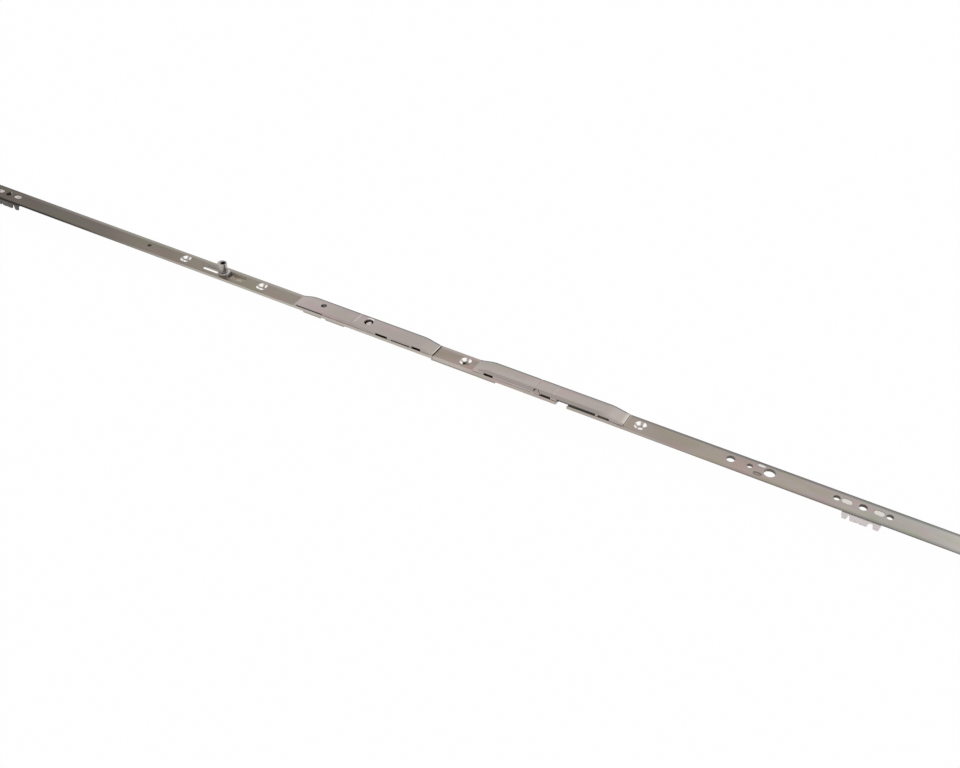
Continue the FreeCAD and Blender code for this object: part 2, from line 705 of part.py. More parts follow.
def make_left_rod():
    narrow = left_rod_body_end()
    bar = rod_blank(LEFT_ROD_END, narrow, -ROD_HALF, ROD_HALF)
    corners = edges_where(bar, lambda e: is_straight(e, "z"))
    bar = bar.makeFillet(ROD_CORNER_ROUND, corners)
    strip = rod_blank(narrow - 2 * ROD_CORNER_ROUND, RACK_LAP_TO, STRIP_INNER, ROD_HALF)
    rack, gap = pinion_rack(1, 1)
    body = join(cut(join(bar, strip), gap), rack)
    screw_half = SCREW_HOLE_RADIUS
    sight_end = CAM_AT - CAM_TO_SIGHT_SLOT
    slots = [
        clip_slot(CLIP_AT_LEFT, 1),
        travel_slot(BUTTON_AT_LEFT, BUTTON_NECK_RADIUS, 2 * BUTTON_NECK_RADIUS + 2 * SWING_GAP, 1),
        travel_slot(SCREW_LEFT_OF_CAM, screw_half, ROD_SLOT_WIDTH, 1),
        rod_slot(sight_end - SIGHT_SLOT_LENGTH, sight_end, WIDE_SLOT_WIDTH),
        travel_slot(SCREW_RIGHT_OF_CAM, screw_half, ROD_SLOT_WIDTH, 1),
        rod_slot(CAM_AT + CAM_TO_SCREW_SLOT, SCREW_RIGHT_OF_CAM, ROD_SLOT_WIDTH),
        travel_slot(STOP_AT, STOP_RADIUS, 2 * STOP_RADIUS + 2 * SWING_GAP, 1),
        disc(CAM_AT, 0, CAM_TAIL_RADIUS + PRESS_GAP, ROD_BOTTOM - CUT, ROD_TOP + CUT),
    ]
    peg_x = CAM_AT + CAM_TO_ROD_PEG_HOLE
    peg_y = STRIP_INNER / 2
    slots.append(disc(peg_x, peg_y, ROD_PEG_HOLE_RADIUS, ROD_BOTTOM - CUT, ROD_TOP + CUT))
    for x in rack_rivet_places():
        y = (RACK_INNER + RACK_OUTER) / 2
        slots.append(disc(x, y, RACK_RIVET_RADIUS + PRESS_GAP, ROD_BOTTOM - CUT, ROD_TOP + CUT))
    return cut(body, *(slots + coupling_notches(LEFT_ROD_END, 1)))


def open_side():
    """What is cut from the far side of the right rod, from the first accessory hole to past the clip."""
    x0 = PILOT_AT - PILOT_RADIUS - ACCESSORY_MARGIN
    x1 = CLIP_AT_RIGHT + CLIP_SIDE_HOLE_OFFSET + CLIP_SIDE_HOLE_RADIUS + TRAVEL
    block = box(x0, x1, -STRIP_INNER, ROD_HALF + CUT, ROD_BOTTOM - CUT, ROD_TOP + CUT)
    inner = edges_where(block, lambda e: is_straight(e, "z") and e.Vertexes[0].Y < 0)
    return block.makeFillet(OPEN_SIDE_ROUND, inner)


def make_right_rod():
    start = PINION_AT - RACK_RUN_OUT
    turn_end = ROD_TURN_AT + ROD_TURN_LENGTH
    strip = rod_blank(start, turn_end, -ROD_HALF, -STRIP_INNER)
    turn = rod_blank(ROD_TURN_AT, turn_end, -ROD_HALF, CENTRE_STRIP_HIGH)
    centre = rod_blank(ROD_TURN_AT, CENTRE_STRIP_END + CUT, CENTRE_STRIP_LOW, CENTRE_STRIP_HIGH)
    bar = rod_blank(CENTRE_STRIP_END, RIGHT_ROD_END, -ROD_HALF, ROD_HALF)
    corners = edges_where(bar, lambda e: is_straight(e, "z"))
    bar = bar.makeFillet(ROD_CORNER_ROUND, corners)
    rack, gap = pinion_rack(-1, -1)
    body = join(cut(join(strip, turn, centre, bar), gap), rack)
    screw_half = SCREW_HOLE_RADIUS
    slots = [
        travel_slot(SCREW_RIGHT_OF_LEVER, screw_half, ROD_SLOT_WIDTH, -1),
        open_side(),
        travel_slot(BUTTON_AT_RIGHT, BUTTON_NECK_RADIUS, 2 * BUTTON_NECK_RADIUS + 2 * SWING_GAP, -1),
    ]
    return cut(body, *(slots + coupling_notches(RIGHT_ROD_END, -1)))


# Rack bar and its rivets

def rack_rivet_places():
    first = RACK_LAP_FROM + RACK_RIVET_INSET
    return (first, first + RACK_RIVET_SPACING)


def make_rack_bar():
    first = HINGE_AT - RACK_LEFT_TOOTH_COUNT * RACK_PITCH
    count = RACK_LEFT_TOOTH_COUNT + RACK_RIGHT_TOOTH_COUNT + 1
    addendum = SECTOR_ADDENDUM * SECTOR_MODULE
    dedendum = RACK_DEDENDUM * SECTOR_MODULE
    teeth = rack_teeth(first, count, RACK_PITCH, RACK_LINE, addendum, dedendum, 1)
    end = teeth[-1][0] + RACK_PITCH / 4
    lap_bottom = ROD_BOTTOM - RACK_LAP_THICK
    outline = [(RACK_LAP_FROM, ROD_BOTTOM), (RACK_LAP_TO, ROD_BOTTOM)]
    outline += teeth
    outline += [
        (end, RACK_ROOT),
        (end, RACK_BOTTOM),
        (RACK_LAP_TO + RACK_LAP_BEND / 2, RACK_BOTTOM),
        (RACK_LAP_TO - RACK_LAP_BEND, lap_bottom),
        (RACK_LAP_FROM, lap_bottom),
    ]
    bar = side_prism(outline, RACK_INNER, RACK_OUTER)
    y = (RACK_INNER + RACK_OUTER) / 2
    holes = []
    for x in rack_rivet_places():
        holes.append(disc(x, y, RACK_RIVET_RADIUS + PRESS_GAP, RACK_BOTTOM - CUT, ROD_BOTTOM + CUT))
    return cut(bar, *holes)


def make_rack_rivets():
    """Two rivets through the rod and the lap of the rack bar, flush on top."""
    y = (RACK_INNER + RACK_OUTER) / 2
    bottom = ROD_BOTTOM - RACK_LAP_THICK
    rivets = []
    for x in rack_rivet_places():
        shank = disc(x, y, RACK_RIVET_RADIUS, bottom, ROD_TOP)
        head = disc(x, y, RACK_RIVET_HEAD, bottom - RACK_RIVET_HEAD_THICK, bottom)
        rivets.append(join(shank, head))
    return Part.makeCompound(rivets)


# Lever hinge

def sector_blank():
    """The wedge-shaped blank of the sector, from the hinge out to the tooth roots."""
    width = RACK_WIDTH
    root = SECTOR_RADIUS - SECTOR_DEDENDUM * SECTOR_MODULE
    wheel = Part.makeCylinder(root, width)
    start = -QUARTER + (min(SECTOR_TOOTH_TURNS) - 0.25) * SECTOR_PITCH
    end = -QUARTER + (max(SECTOR_TOOTH_TURNS) + 0.5) * SECTOR_PITCH
    steps = [start + (end - start) * i / 4 for i in range(5)]
    rim = [polar(2 * root, math.radians(a)) for a in steps]
    corners = [point(0, 0, 0)] + rim
    wedge = Part.Face(Part.makePolygon(corners + corners[:1])).extrude(point(0, 0, width))
    return wheel.common(wedge)


def make_sector():
    """Toothed sector: hub, teeth and the foot that is welded under the lever's face."""
    width = RACK_WIDTH
    ceiling = COVER_UNDER - HINGE_HEIGHT
    tooth = gear_tooth(
        SECTOR_MODULE, SECTOR_TEETH_ROUND, 0, SECTOR_ADDENDUM, SECTOR_DEDENDUM, width
    )
    teeth = [turned(tooth, -QUARTER + t * SECTOR_PITCH) for t in SECTOR_TOOTH_TURNS]
    hub = Part.makeCylinder(HUB_RADIUS, width)
    foot = Part.makeBox(SECTOR_FOOT_LENGTH, HUB_RADIUS, width)
    foot.translate(point(0, ceiling - HUB_RADIUS, 0))
    body = join(sector_blank(), hub, foot, *teeth)
    above = Part.makeBox(2 * FAR, FAR, 2 * width)
    above.translate(point(-FAR, ceiling, -width / 2))
    body = cut(body, above, Part.makeCylinder(HINGE_PIN_RADIUS + RUNNING_GAP, width))
    body.rotate(point(0, 0, 0), point(1, 0, 0), QUARTER)
    body.translate(point(HINGE_AT, RACK_OUTER, HINGE_HEIGHT))
    return body


def make_lever_lug():
    """The plain second lug of the lever, on the near side of the hinge."""
    y0 = -RACK_OUTER
    y1 = -RACK_INNER
    hub = cross_disc(HINGE_AT, HINGE_HEIGHT, HUB_RADIUS, y0, y1)
    foot = box(HINGE_AT, HINGE_AT + SECTOR_FOOT_LENGTH, y0, y1, COVER_UNDER - HUB_RADIUS, COVER_UNDER)
    above = box(HINGE_AT - FAR, HINGE_AT + FAR, y0 - CUT, y1 + CUT, COVER_UNDER, COVER_UNDER + FAR)
    bore = cross_disc(HINGE_AT, HINGE_HEIGHT, HINGE_PIN_RADIUS + RUNNING_GAP, y0 - CUT, y1 + CUT)
    return cut(join(hub, foot), above, bore)


def make_hinge_pin():
    return cross_disc(HINGE_AT, HINGE_HEIGHT, HINGE_PIN_RADIUS, -COVER_HALF, COVER_HALF)


# Pressed covers

def channel_outline(x0, x1, bottom, top, ramp0, ramp1, lip):
    """Side view of a pressed cover: a ramp of the given length at each end, or a square end at 0."""
    outline = [(x0, bottom)]
    if ramp0 > 0:
        outline += [(x0, bottom + lip), (x0 + ramp0, top)]
    else:
        outline.append((x0, top))
    if ramp1 > 0:
        outline += [(x1 - ramp1, top), (x1, bottom + lip)]
    else:
        outline.append((x1, top))
    outline.append((x1, bottom))
    return outline


def ramp_bends(shape, top, ramp_ends):
    """The edges across a cover where its face bends down into a ramp."""
    return edges_where(
        shape,
        lambda e: is_straight(e, "y")
        and abs(e.CenterOfMass.z - top) < TOUCH
        and any(abs(e.CenterOfMass.x - x) < TOUCH for x in ramp_ends),
    )


def pressed_channel(x0, x1, bottom, ramp0, ramp1):
    """A cover pressed from sheet: a face, two side flanges, and a ramp down at the ends that have one."""
    outer = side_prism(
        channel_outline(x0, x1, bottom, COVER_TOP, ramp0, ramp1, RAMP_LIP),
        -COVER_HALF,
        COVER_HALF,
    )
    ramp_ends = [x0 + ramp0] if ramp0 > 0 else []
    ramp_ends += [x1 - ramp1] if ramp1 > 0 else []
    outer = outer.makeFillet(RAMP_BEND_ROUND, ramp_bends(outer, COVER_TOP, ramp_ends))
    top_edges = edges_where(
        outer,
        lambda e: abs(abs(e.CenterOfMass.y) - COVER_HALF) < TOUCH
        and e.CenterOfMass.z > bottom + RAMP_LIP
        and not is_straight(e, "z"),
    )
    outer = outer.makeFillet(COVER_BEND_ROUND, top_edges)
    inset0 = RAMP_LIP / 2 if ramp0 > 0 else -CUT
    inset1 = RAMP_LIP / 2 if ramp1 > 0 else -CUT
    inner = side_prism(
        channel_outline(
            x0 + inset0,
            x1 - inset1,
            bottom - CUT,
            COVER_UNDER,
            ramp0,
            ramp1,
            CUT,
        ),
        -COVER_INNER_HALF,
        COVER_INNER_HALF,
    )
    inner_ends = [x0 + inset0 + ramp0] if ramp0 > 0 else []
    inner_ends += [x1 - inset1 - ramp1] if ramp1 > 0 else []
    inner_bends = ramp_bends(inner, COVER_UNDER, inner_ends)
    return cut(outer, inner.makeFillet(RAMP_BEND_ROUND - SHEET, inner_bends))


def flange_window(x0, x1, bottom, height):
    """A window at the foot of both flanges."""
    inner = -COVER_INNER_HALF + SLIDE_GAP
    near = box(x0, x1, -COVER_HALF - CUT, inner, bottom - CUT, bottom + height)
    return both_sides(near)


def flange_windows(start, spans):
    """Windows at the foot of both flanges, their spans counted from start."""
    made = []
    for x0, x1 in spans:
        made += flange_window(start + x0, start + x1, PLATE_THICK, WINDOW_HEIGHT)
    return made


def tabs(start, places):
    """Tabs under the flanges, counted from start and set into slots of the faceplate."""
    made = []
    for place in places:
        x = start + place
        near = box(
            x - TAB_LENGTH / 2,
            x + TAB_LENGTH / 2,
            -COVER_HALF,
            -COVER_INNER_HALF,
            TAB_SINK,
            PLATE_THICK + SHEET / 2,
        )
        made += both_sides(near)
    return made


def make_left_cover():
    body = pressed_channel(LEFT_COVER_FROM, LEFT_COVER_TO, PLATE_THICK, LEFT_COVER_RAMP, 0)
    hole = disc(STOP_AT, 0, LEFT_COVER_HOLE_RADIUS, COVER_UNDER - CUT, COVER_TOP + CUT)
    gap_from = LEFT_COVER_FROM + LEFT_COVER_GAP[0]
    gap_to = LEFT_COVER_FROM + LEFT_COVER_GAP[1]
    gap = flange_window(gap_from, gap_to, PLATE_THICK, GAP_HEIGHT)[0]
    return join(cut(body, hole, gap), *tabs(LEFT_COVER_FROM, LEFT_COVER_TABS))


def make_right_cover():
    body = pressed_channel(RIGHT_COVER_FROM, RIGHT_COVER_TO, PLATE_THICK, 0, RIGHT_COVER_RAMP)
    openings = [disc(PINION_AT, 0, RIGHT_COVER_HOLE_RADIUS, COVER_UNDER - CUT, COVER_TOP + CUT)]
    openings += flange_windows(RIGHT_COVER_FROM, RIGHT_COVER_WINDOWS)
    gap_from = RIGHT_COVER_FROM + RIGHT_COVER_GAP[0]
    gap_to = RIGHT_COVER_FROM + RIGHT_COVER_GAP[1]
    openings.append(flange_window(gap_from, gap_to, PLATE_THICK, GAP_HEIGHT)[0])
    return join(cut(body, *openings), *tabs(RIGHT_COVER_FROM, RIGHT_COVER_TABS))


def ear_cutter():
    """What is cut away round each hinge ear, so that the lever's flanges swing past it."""
    back = HINGE_AT - EAR_RADIUS - SLIDE_GAP
    front = HINGE_AT + EAR_RADIUS + CUT
    y0 = -COVER_HALF - CUT
    y1 = -LEVER_NOSE_HALF_WIDTH - SLIDE_GAP
    block = box(back, front, y0, y1, PLATE_THICK - CUT, COVER_TOP + CUT)
    ear = cross_disc(HINGE_AT, HINGE_HEIGHT, EAR_RADIUS, y0, y1)
    neck = box(back - CUT, HINGE_AT, y0, y1, PLATE_THICK - CUT, HINGE_HEIGHT)
    floor = box(back - CUT, front, y0, y1, PLATE_THICK - 2 * CUT, PLATE_THICK)
    return both_sides(cut(block, ear, neck).common(cut(block, floor)))


def make_hinge_cover():
    end = HINGE_AT + EAR_RADIUS
    body = pressed_channel(HINGE_COVER_FROM, end, PLATE_THICK, HINGE_COVER_RAMP, 0)
    openings = flange_windows(HINGE_COVER_FROM, HINGE_COVER_WINDOWS)
    half = LEVER_NOSE_HALF_WIDTH + SLIDE_GAP
    openings.append(cross_disc(HINGE_AT, HINGE_HEIGHT, NOSE_REACH + NOSE_GAP, -half, half))
    openings.append(box(HINGE_AT, end + CUT, -half, half, PLATE_THICK, COVER_TOP + CUT))
    openings += ear_cutter()
    pin = HINGE_PIN_RADIUS + PRESS_GAP
    openings.append(cross_disc(HINGE_AT, HINGE_HEIGHT, pin, -COVER_HALF - CUT, COVER_HALF + CUT))
    below = box(HINGE_COVER_FROM - CUT, end + CUT, -COVER_HALF - CUT, COVER_HALF + CUT, -FAR, PLATE_THICK)
    return join(cut(body, below, *openings), *tabs(HINGE_COVER_FROM, HINGE_COVER_TABS))


def lever_side_cuts():
    """What is cut from the lever's flanges round the hinge ears and over the near window."""
    y0 = -COVER_HALF - CUT
    y1 = -LEVER_NOSE_HALF_WIDTH
    swing = cross_disc(HINGE_AT, HINGE_HEIGHT, EAR_RADIUS + SWING_GAP, y0, y1)
    behind = box(HINGE_AT - FAR, HINGE_AT, y0, y1, 0, COVER_TOP + CUT)
    window_to = HINGE_AT + LEVER_HINGE_WINDOW
    window = box(HINGE_AT, window_to, y0, y1, 0, PLATE_THICK + WINDOW_HEIGHT)
    cuts = []
    for tool in (swing, behind, window):
        cuts += both_sides(tool)
    return cuts


def make_lever():
    bottom = PLATE_THICK + SLIDE_GAP
    body = pressed_channel(HINGE_AT - LEVER_NOSE, LEVER_TO, bottom, 0, LEVER_RAMP)
    openings = lever_side_cuts()
    openings += flange_windows(HINGE_AT, LEVER_WINDOWS)
    openings.append(flange_window(NOTCH_FROM, NOTCH_TO, PLATE_THICK, NOTCH_LEVER_HEIGHT)[0])
    openings.append(flange_window(NOTCH_TO, SLIT_TO, PLATE_THICK, SLIT_LEVER_HEIGHT)[0])
    openings.append(
        box(
            HINGE_AT + HINGE_TO_PAD,
            HINGE_AT + HINGE_TO_PAD + LEVER_PAD_LENGTH,
            -LEVER_PAD_WIDTH / 2,
            LEVER_PAD_WIDTH / 2,
            COVER_TOP - LEVER_PAD_DEPTH,
            COVER_TOP + CUT,
        )
    )
    return cut(body, *openings)


# Pinion, axle and stop pin

def make_pinion():
    """Reversing pinion. One tooth points at each rod's toothed edge."""
    height = ROD_THICK
    root = PINION_RADIUS - PINION_MODULE * (PINION_DEDENDUM - PINION_SHIFT)
    tooth = gear_tooth(
        PINION_MODULE, PINION_TEETH, PINION_SHIFT, PINION_ADDENDUM, PINION_DEDENDUM, height
    )
    step = 360.0 / PINION_TEETH
    teeth = [turned(tooth, QUARTER + i * step) for i in range(PINION_TEETH)]
    body = join(Part.makeCylinder(root, height), *teeth)
    body = cut(body, Part.makeCylinder(PINION_BORE_RADIUS, height))
    body.translate(point(PINION_AT, 0, ROD_BOTTOM))
    return body


def make_pinion_axle():
    x = PINION_AT
    pivot = PINION_BORE_RADIUS - RUNNING_GAP
    washer_bottom = FLOOR_TOP - WASHER_THICK
    boss_top = PLATE_THICK + AXLE_BOSS_HEIGHT
    body = join(
        bevelled_disc(x, AXLE_BOSS_RADIUS, PLATE_THICK, boss_top, AXLE_BOSS_BEVEL),
        disc(x, 0, AXLE_SHANK_RADIUS, 0, PLATE_THICK),
        disc(x, 0, pivot, washer_bottom, 0),
        disc(x, 0, AXLE_END_RADIUS, washer_bottom - AXLE_END_THICK, washer_bottom),
    )
    dimple = cone(x, 0, 0, AXLE_BOSS_DIMPLE, boss_top - AXLE_BOSS_DIMPLE, boss_top)
    return cut(body, dimple)


def make_pinion_washer():
    ring = disc(PINION_AT, 0, WASHER_RADIUS, FLOOR_TOP - WASHER_THICK, FLOOR_TOP)
    bore = PINION_BORE_RADIUS - RUNNING_GAP + PRESS_GAP
    return cut(ring, disc(PINION_AT, 0, bore, FLOOR_TOP - WASHER_THICK - CUT, FLOOR_TOP + CUT))


def make_stop_pin():
    x = STOP_AT
    top = PLATE_THICK + STOP_HEIGHT
    shank = bevelled_disc(x, STOP_RADIUS, ROD_BOTTOM, top, STOP_BEVEL)
    collar = disc(x, 0, STOP_COLLAR_RADIUS, PLATE_THICK, PLATE_THICK + STOP_COLLAR_HEIGHT)
    return join(shank, collar)


# Roller cam

def cam_levels():
    """Heights of the cam's flange top, roller top and head top."""
    flange_top = PLATE_THICK + SLIDE_GAP + CAM_FLANGE_THICK
    roller_bottom = flange_top + SLIDE_GAP
    roller_top = roller_bottom + CAM_ROLLER_LENGTH
    head_top = roller_top + SLIDE_GAP + CAM_HEAD_THICK
    return flange_top, roller_bottom, roller_top, head_top


def make_cam_base():
    """Bush riveted into the left rod. Its flange runs over the faceplate beside the slot."""
    x = CAM_AT
    flange_top = cam_levels()[0]
    body = join(
        disc(x, 0, CAM_TAIL_RADIUS, ROD_BOTTOM, ROD_TOP),
        disc(x, 0, CAM_SHOULDER_RADIUS, ROD_TOP, flange_top),
        disc(x, 0, CAM_FLANGE_RADIUS, flange_top - CAM_FLANGE_THICK, flange_top),
    )
    bore = disc(x, 0, CAM_BOLT_RADIUS + RUNNING_GAP, ROD_BOTTOM - CUT, flange_top + CUT)
    return cut(body, bore)


def hexagon(x, y, across, z0, z1):
    radius = across / HEXAGON_RATIO
    outline = []
    for i in range(HEXAGON_SIDES):
        angle = 2 * math.pi * i / HEXAGON_SIDES
        outline.append((x + radius * math.cos(angle), y + radius * math.sin(angle)))
    return plan_prism(outline, z0, z1)


def make_cam_bolt():
    """Eccentric bolt: a pivot in the bush, an offset post and head, and a socket in line with the pivot."""
    flange_top, roller_bottom, roller_top, head_top = cam_levels()
    post_x = CAM_AT + CAM_ECCENTRICITY
    seat = (flange_top + roller_bottom) / 2
    head_bottom = roller_top + SLIDE_GAP
    head = bevelled_disc(post_x, CAM_ROLLER_RADIUS, head_bottom, head_top, CAM_HEAD_BEVEL)
    body = join(
        disc(CAM_AT, 0, CAM_BOLT_RADIUS, ROD_BOTTOM, seat),
        disc(post_x, 0, CAM_POST_RADIUS, flange_top + RUNNING_GAP, roller_top + SLIDE_GAP),
        head,
    )
    socket = hexagon(CAM_AT, 0, CAM_HEX_ACROSS, head_top - CAM_HEX_DEPTH, head_top + CUT)
    return cut(body, socket)


def make_cam_roller():
    roller_bottom = cam_levels()[1]
    roller_top = cam_levels()[2]
    x = CAM_AT + CAM_ECCENTRICITY
    bevel = CAM_ROLLER_BEVEL
    small = CAM_ROLLER_RADIUS - bevel
    body = join(
        bevelled_disc(x, CAM_ROLLER_RADIUS, roller_bottom + bevel, roller_top, bevel),
        cone(x, 0, small, CAM_ROLLER_RADIUS, roller_bottom, roller_bottom + bevel),
    )
    return cut(body, disc(x, 0, CAM_POST_RADIUS + RUNNING_GAP, roller_bottom - CUT, roller_top + CUT))


# Guides, case and clips

def saddle(x0, x1, floor):
    """A guide under the rods: two walls up to the faceplate's back, and a floor."""
    outer = box(x0, x1, -GROOVE_HALF, GROOVE_HALF, FLOOR_TOP - floor, 0)
    lower = edges_where(
        outer,
        lambda e: is_straight(e, "x") and e.CenterOfMass.z < FLOOR_TOP - floor / 2,
    )
    outer = outer.makeFillet(floor / 2, lower)
    inner_half = GROOVE_HALF - GUIDE_WALL
    return cut(outer, box(x0 - CUT, x1 + CUT, -inner_half, inner_half, FLOOR_TOP, CUT))


def make_left_guide():
    left = STOP_AT - LEFT_GUIDE_TO_STOP
    return saddle(left, left + LEFT_GUIDE_LENGTH, GUIDE_FLOOR)


def make_pinion_guide():
    left = PINION_AT - PINION_GUIDE_TO_PINION
    return saddle(left, left + PINION_GUIDE_LENGTH, GUIDE_FLOOR)


def make_middle_guide():
    left = SCREW_AT_MIDDLE - MIDDLE_GUIDE_LEFT
    right = SCREW_AT_MIDDLE + MIDDLE_GUIDE_RIGHT
    body = saddle(left, right, MIDDLE_GUIDE_FLOOR)
    hole = disc(SCREW_AT_MIDDLE, 0, GUIDE_SCREW_RADIUS, -FAR, 0)
    return cut(body, hole)


def make_rack_case():
    """Trough round the rack bar. Its far wall is welded to the faceplate's back."""
    x0 = RACK_LAP_TO + LAP_TO_RACK_CASE
    x1 = x0 + RACK_CASE_LENGTH
    near_out = RACK_INNER - SWING_GAP - RACK_CASE_WALL
    floor_top = RACK_BOTTOM - SLIDE_GAP
    low = floor_top - RACK_CASE_WALL
    floor = box(x0, x1, near_out, GROOVE_HALF, low, floor_top)
    far_wall = box(x0, x1, GROOVE_HALF - RACK_CASE_WALL, GROOVE_HALF, low, 0)
    near_wall = box(x0, x1, near_out, near_out + RACK_CASE_WALL, low, FLOOR_TOP)
    return join(floor, far_wall, near_wall)


def button(x, top):
    """A headed stud that holds the rod up against the faceplate."""
    head = disc(x, 0, BUTTON_RADIUS, FLOOR_TOP - BUTTON_THICK, FLOOR_TOP)
    neck = disc(x, 0, BUTTON_NECK_RADIUS, FLOOR_TOP - BUTTON_THICK / 2, top)
    return join(head, neck)


def make_guide_buttons():
    top = PLATE_THICK - BUTTON_SINK
    return Part.makeCompound([button(BUTTON_AT_LEFT, top), button(BUTTON_AT_RIGHT, top)])


def make_lever_catch():
    """Leaf catch that grips the inside of the lever's flanges."""
    half = COVER_INNER_HALF - SWING_GAP
    base_top = PLATE_THICK + CATCH_SHEET
    prong_from = CATCH_FROM + CATCH_PRONG_INSET
    base = box(CATCH_FROM, CATCH_FROM + CATCH_LENGTH, -half, half, PLATE_THICK, base_top)
    prong = box(
        prong_from,
        prong_from + CATCH_PRONG_LENGTH,
        -half,
        -half + CATCH_SHEET,
        PLATE_THICK,
        PLATE_THICK + CATCH_PRONG_HEIGHT,
    )
    waist = box(CATCH_FROM - CUT, prong_from, -half - CUT, -half / 2, 0, COVER_TOP)
    stud = disc(CATCH_STUD_AT, 0, BUTTON_NECK_RADIUS + PRESS_GAP, 0, COVER_TOP)
    return cut(join(base, *both_sides(prong)), *both_sides(waist), stud)


def make_catch_stud():
    bottom = PLATE_THICK + CATCH_SHEET
    head_top = bottom + CATCH_STUD_HEAD_THICK
    shank = disc(CATCH_STUD_AT, 0, BUTTON_NECK_RADIUS, 0, head_top)
    return join(shank, disc(CATCH_STUD_AT, 0, CATCH_STUD_HEAD, bottom, head_top))


def clip_foot(x0, x1, notch):
    """One tapered foot on the near wall of a clip, with a notch of the given height in its tip."""
    top = FLOOR_TOP - CLIP_BASE_THICK
    bottom = top - CLIP_FOOT_DEPTH
    middle = (x0 + x1) / 2
    outline = [(x0, top), (x1, top), (x1 - CLIP_FOOT_TAPER, bottom)]
    if notch > 0:
        outline += [(middle + notch / 2, bottom), (middle, bottom + notch), (middle - notch / 2, bottom)]
    outline.append((x0 + CLIP_FOOT_TAPER, bottom))
    return side_prism(outline, -GROOVE_HALF, -GROOVE_HALF + CLIP_FOOT_WALL)


def clip_base(x):
    """The plate of a clip under the rod: full width over the feet, narrow under the ends of the pegs."""
    bottom = FLOOR_TOP - CLIP_BASE_THICK
    end = CLIP_PEG_OFFSET + CLIP_PEG_LENGTH / 2
    left = x + CLIP_END_FEET[0][0]
    right = x + CLIP_END_FEET[-1][1]
    wide = box(left, right, -GROOVE_HALF, GROOVE_HALF, bottom, FLOOR_TOP)
    narrow = box(x - end, x + end, -CLIP_END_HALF_WIDTH, CLIP_END_HALF_WIDTH, bottom, FLOOR_TOP)
    return join(wide, narrow)


def clip_rib(x0, x1, y0, y1):
    """A rib under the base of a clip, half as deep as the feet."""
    top = FLOOR_TOP - CLIP_BASE_THICK
    return box(x0, x1, y0, y1, top - CLIP_FOOT_DEPTH / 2, top)


def make_clip(x):
    """A moulded clip: base under the rod, two oval pegs up into the faceplate, and feet below."""
    top = PLATE_THICK - CLIP_PEG_SINK
    half_web = CLIP_WEB_THICK / 2
    inner = GROOVE_HALF - CLIP_FOOT_WALL / 2
    parts = [clip_foot(x + CLIP_MIDDLE_FOOT[0], x + CLIP_MIDDLE_FOOT[1], CLIP_FOOT_NOTCH)]
    for side in (-1, 1):
        centre = x + side * CLIP_PEG_OFFSET
        half = CLIP_PEG_LENGTH / 2
        parts.append(oval(centre - half, centre + half, 0, CLIP_PEG_WIDTH, FLOOR_TOP, top))
    for x0, x1 in CLIP_END_FEET:
        parts += both_sides(clip_foot(x + x0, x + x1, 0))
        centre = x + (x0 + x1) / 2
        parts.append(clip_rib(centre - half_web, centre + half_web, -inner, inner))
    first = x + CLIP_END_FEET[0][0] + CLIP_FOOT_TAPER
    last = x + CLIP_END_FEET[-1][1] - CLIP_FOOT_TAPER
    parts.append(clip_rib(first, last, -half_web, half_web))
    hole = disc(x, 0, CLIP_HOLE_RADIUS, -FAR, FAR)
    opening = box(x - CLIP_OPENING_LEFT, x + CLIP_HOLE_RADIUS, 0, FAR, -FAR, FAR)
    return cut(join(clip_base(x), *parts), hole, opening)


NODES = {
    "faceplate": make_faceplate,
    "left_drive_rod": make_left_rod,
    "right_drive_rod": make_right_rod,
    "rack_bar": make_rack_bar,
    "rack_rivets": make_rack_rivets,
    "lever": make_lever,
    "lever_sector": make_sector,
    "lever_lug": make_lever_lug,
    "hinge_pin": make_hinge_pin,
    "hinge_cover": make_hinge_cover,
    "left_cover": make_left_cover,
    "right_cover": make_right_cover,
    "pinion": make_pinion,
    "pinion_axle": make_pinion_axle,
    "pinion_washer": make_pinion_washer,
    "stop_pin": make_stop_pin,
    "cam_base": make_cam_base,
    "cam_bolt": make_cam_bolt,
    "cam_roller": make_cam_roller,
    "left_rod_guide": make_left_guide,
    "pinion_rod_guide": make_pinion_guide,
    "middle_rod_guide": make_middle_guide,
    "rack_case": make_rack_case,
    "guide_buttons": make_guide_buttons,
    "lever_catch": make_lever_catch,
    "catch_stud": make_catch_stud,
    "left_clip": lambda: make_clip(CLIP_AT_LEFT),
    "right_clip": lambda: make_clip(CLIP_AT_RIGHT),
}


def main():
    os.makedirs("parts", exist_ok=True)
    for name, maker in NODES.items():
        shape = maker()
        if not shape.isValid():
            print("not valid:", name)
        shape.exportStep("parts/" + name + ".step")
        print(name, "solids", len(shape.Solids), "volume", round(shape.Volume, 1))


if __name__ == "__main__":
    main()
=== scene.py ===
"""Looks, light and camera for the window espagnolette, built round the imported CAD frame."""
import logging
import math
from dataclasses import dataclass
from enum import Enum
from typing import Any, Dict, Optional, Sequence, Tuple

import bmesh
import bpy
from mathutils import Matrix, Vector


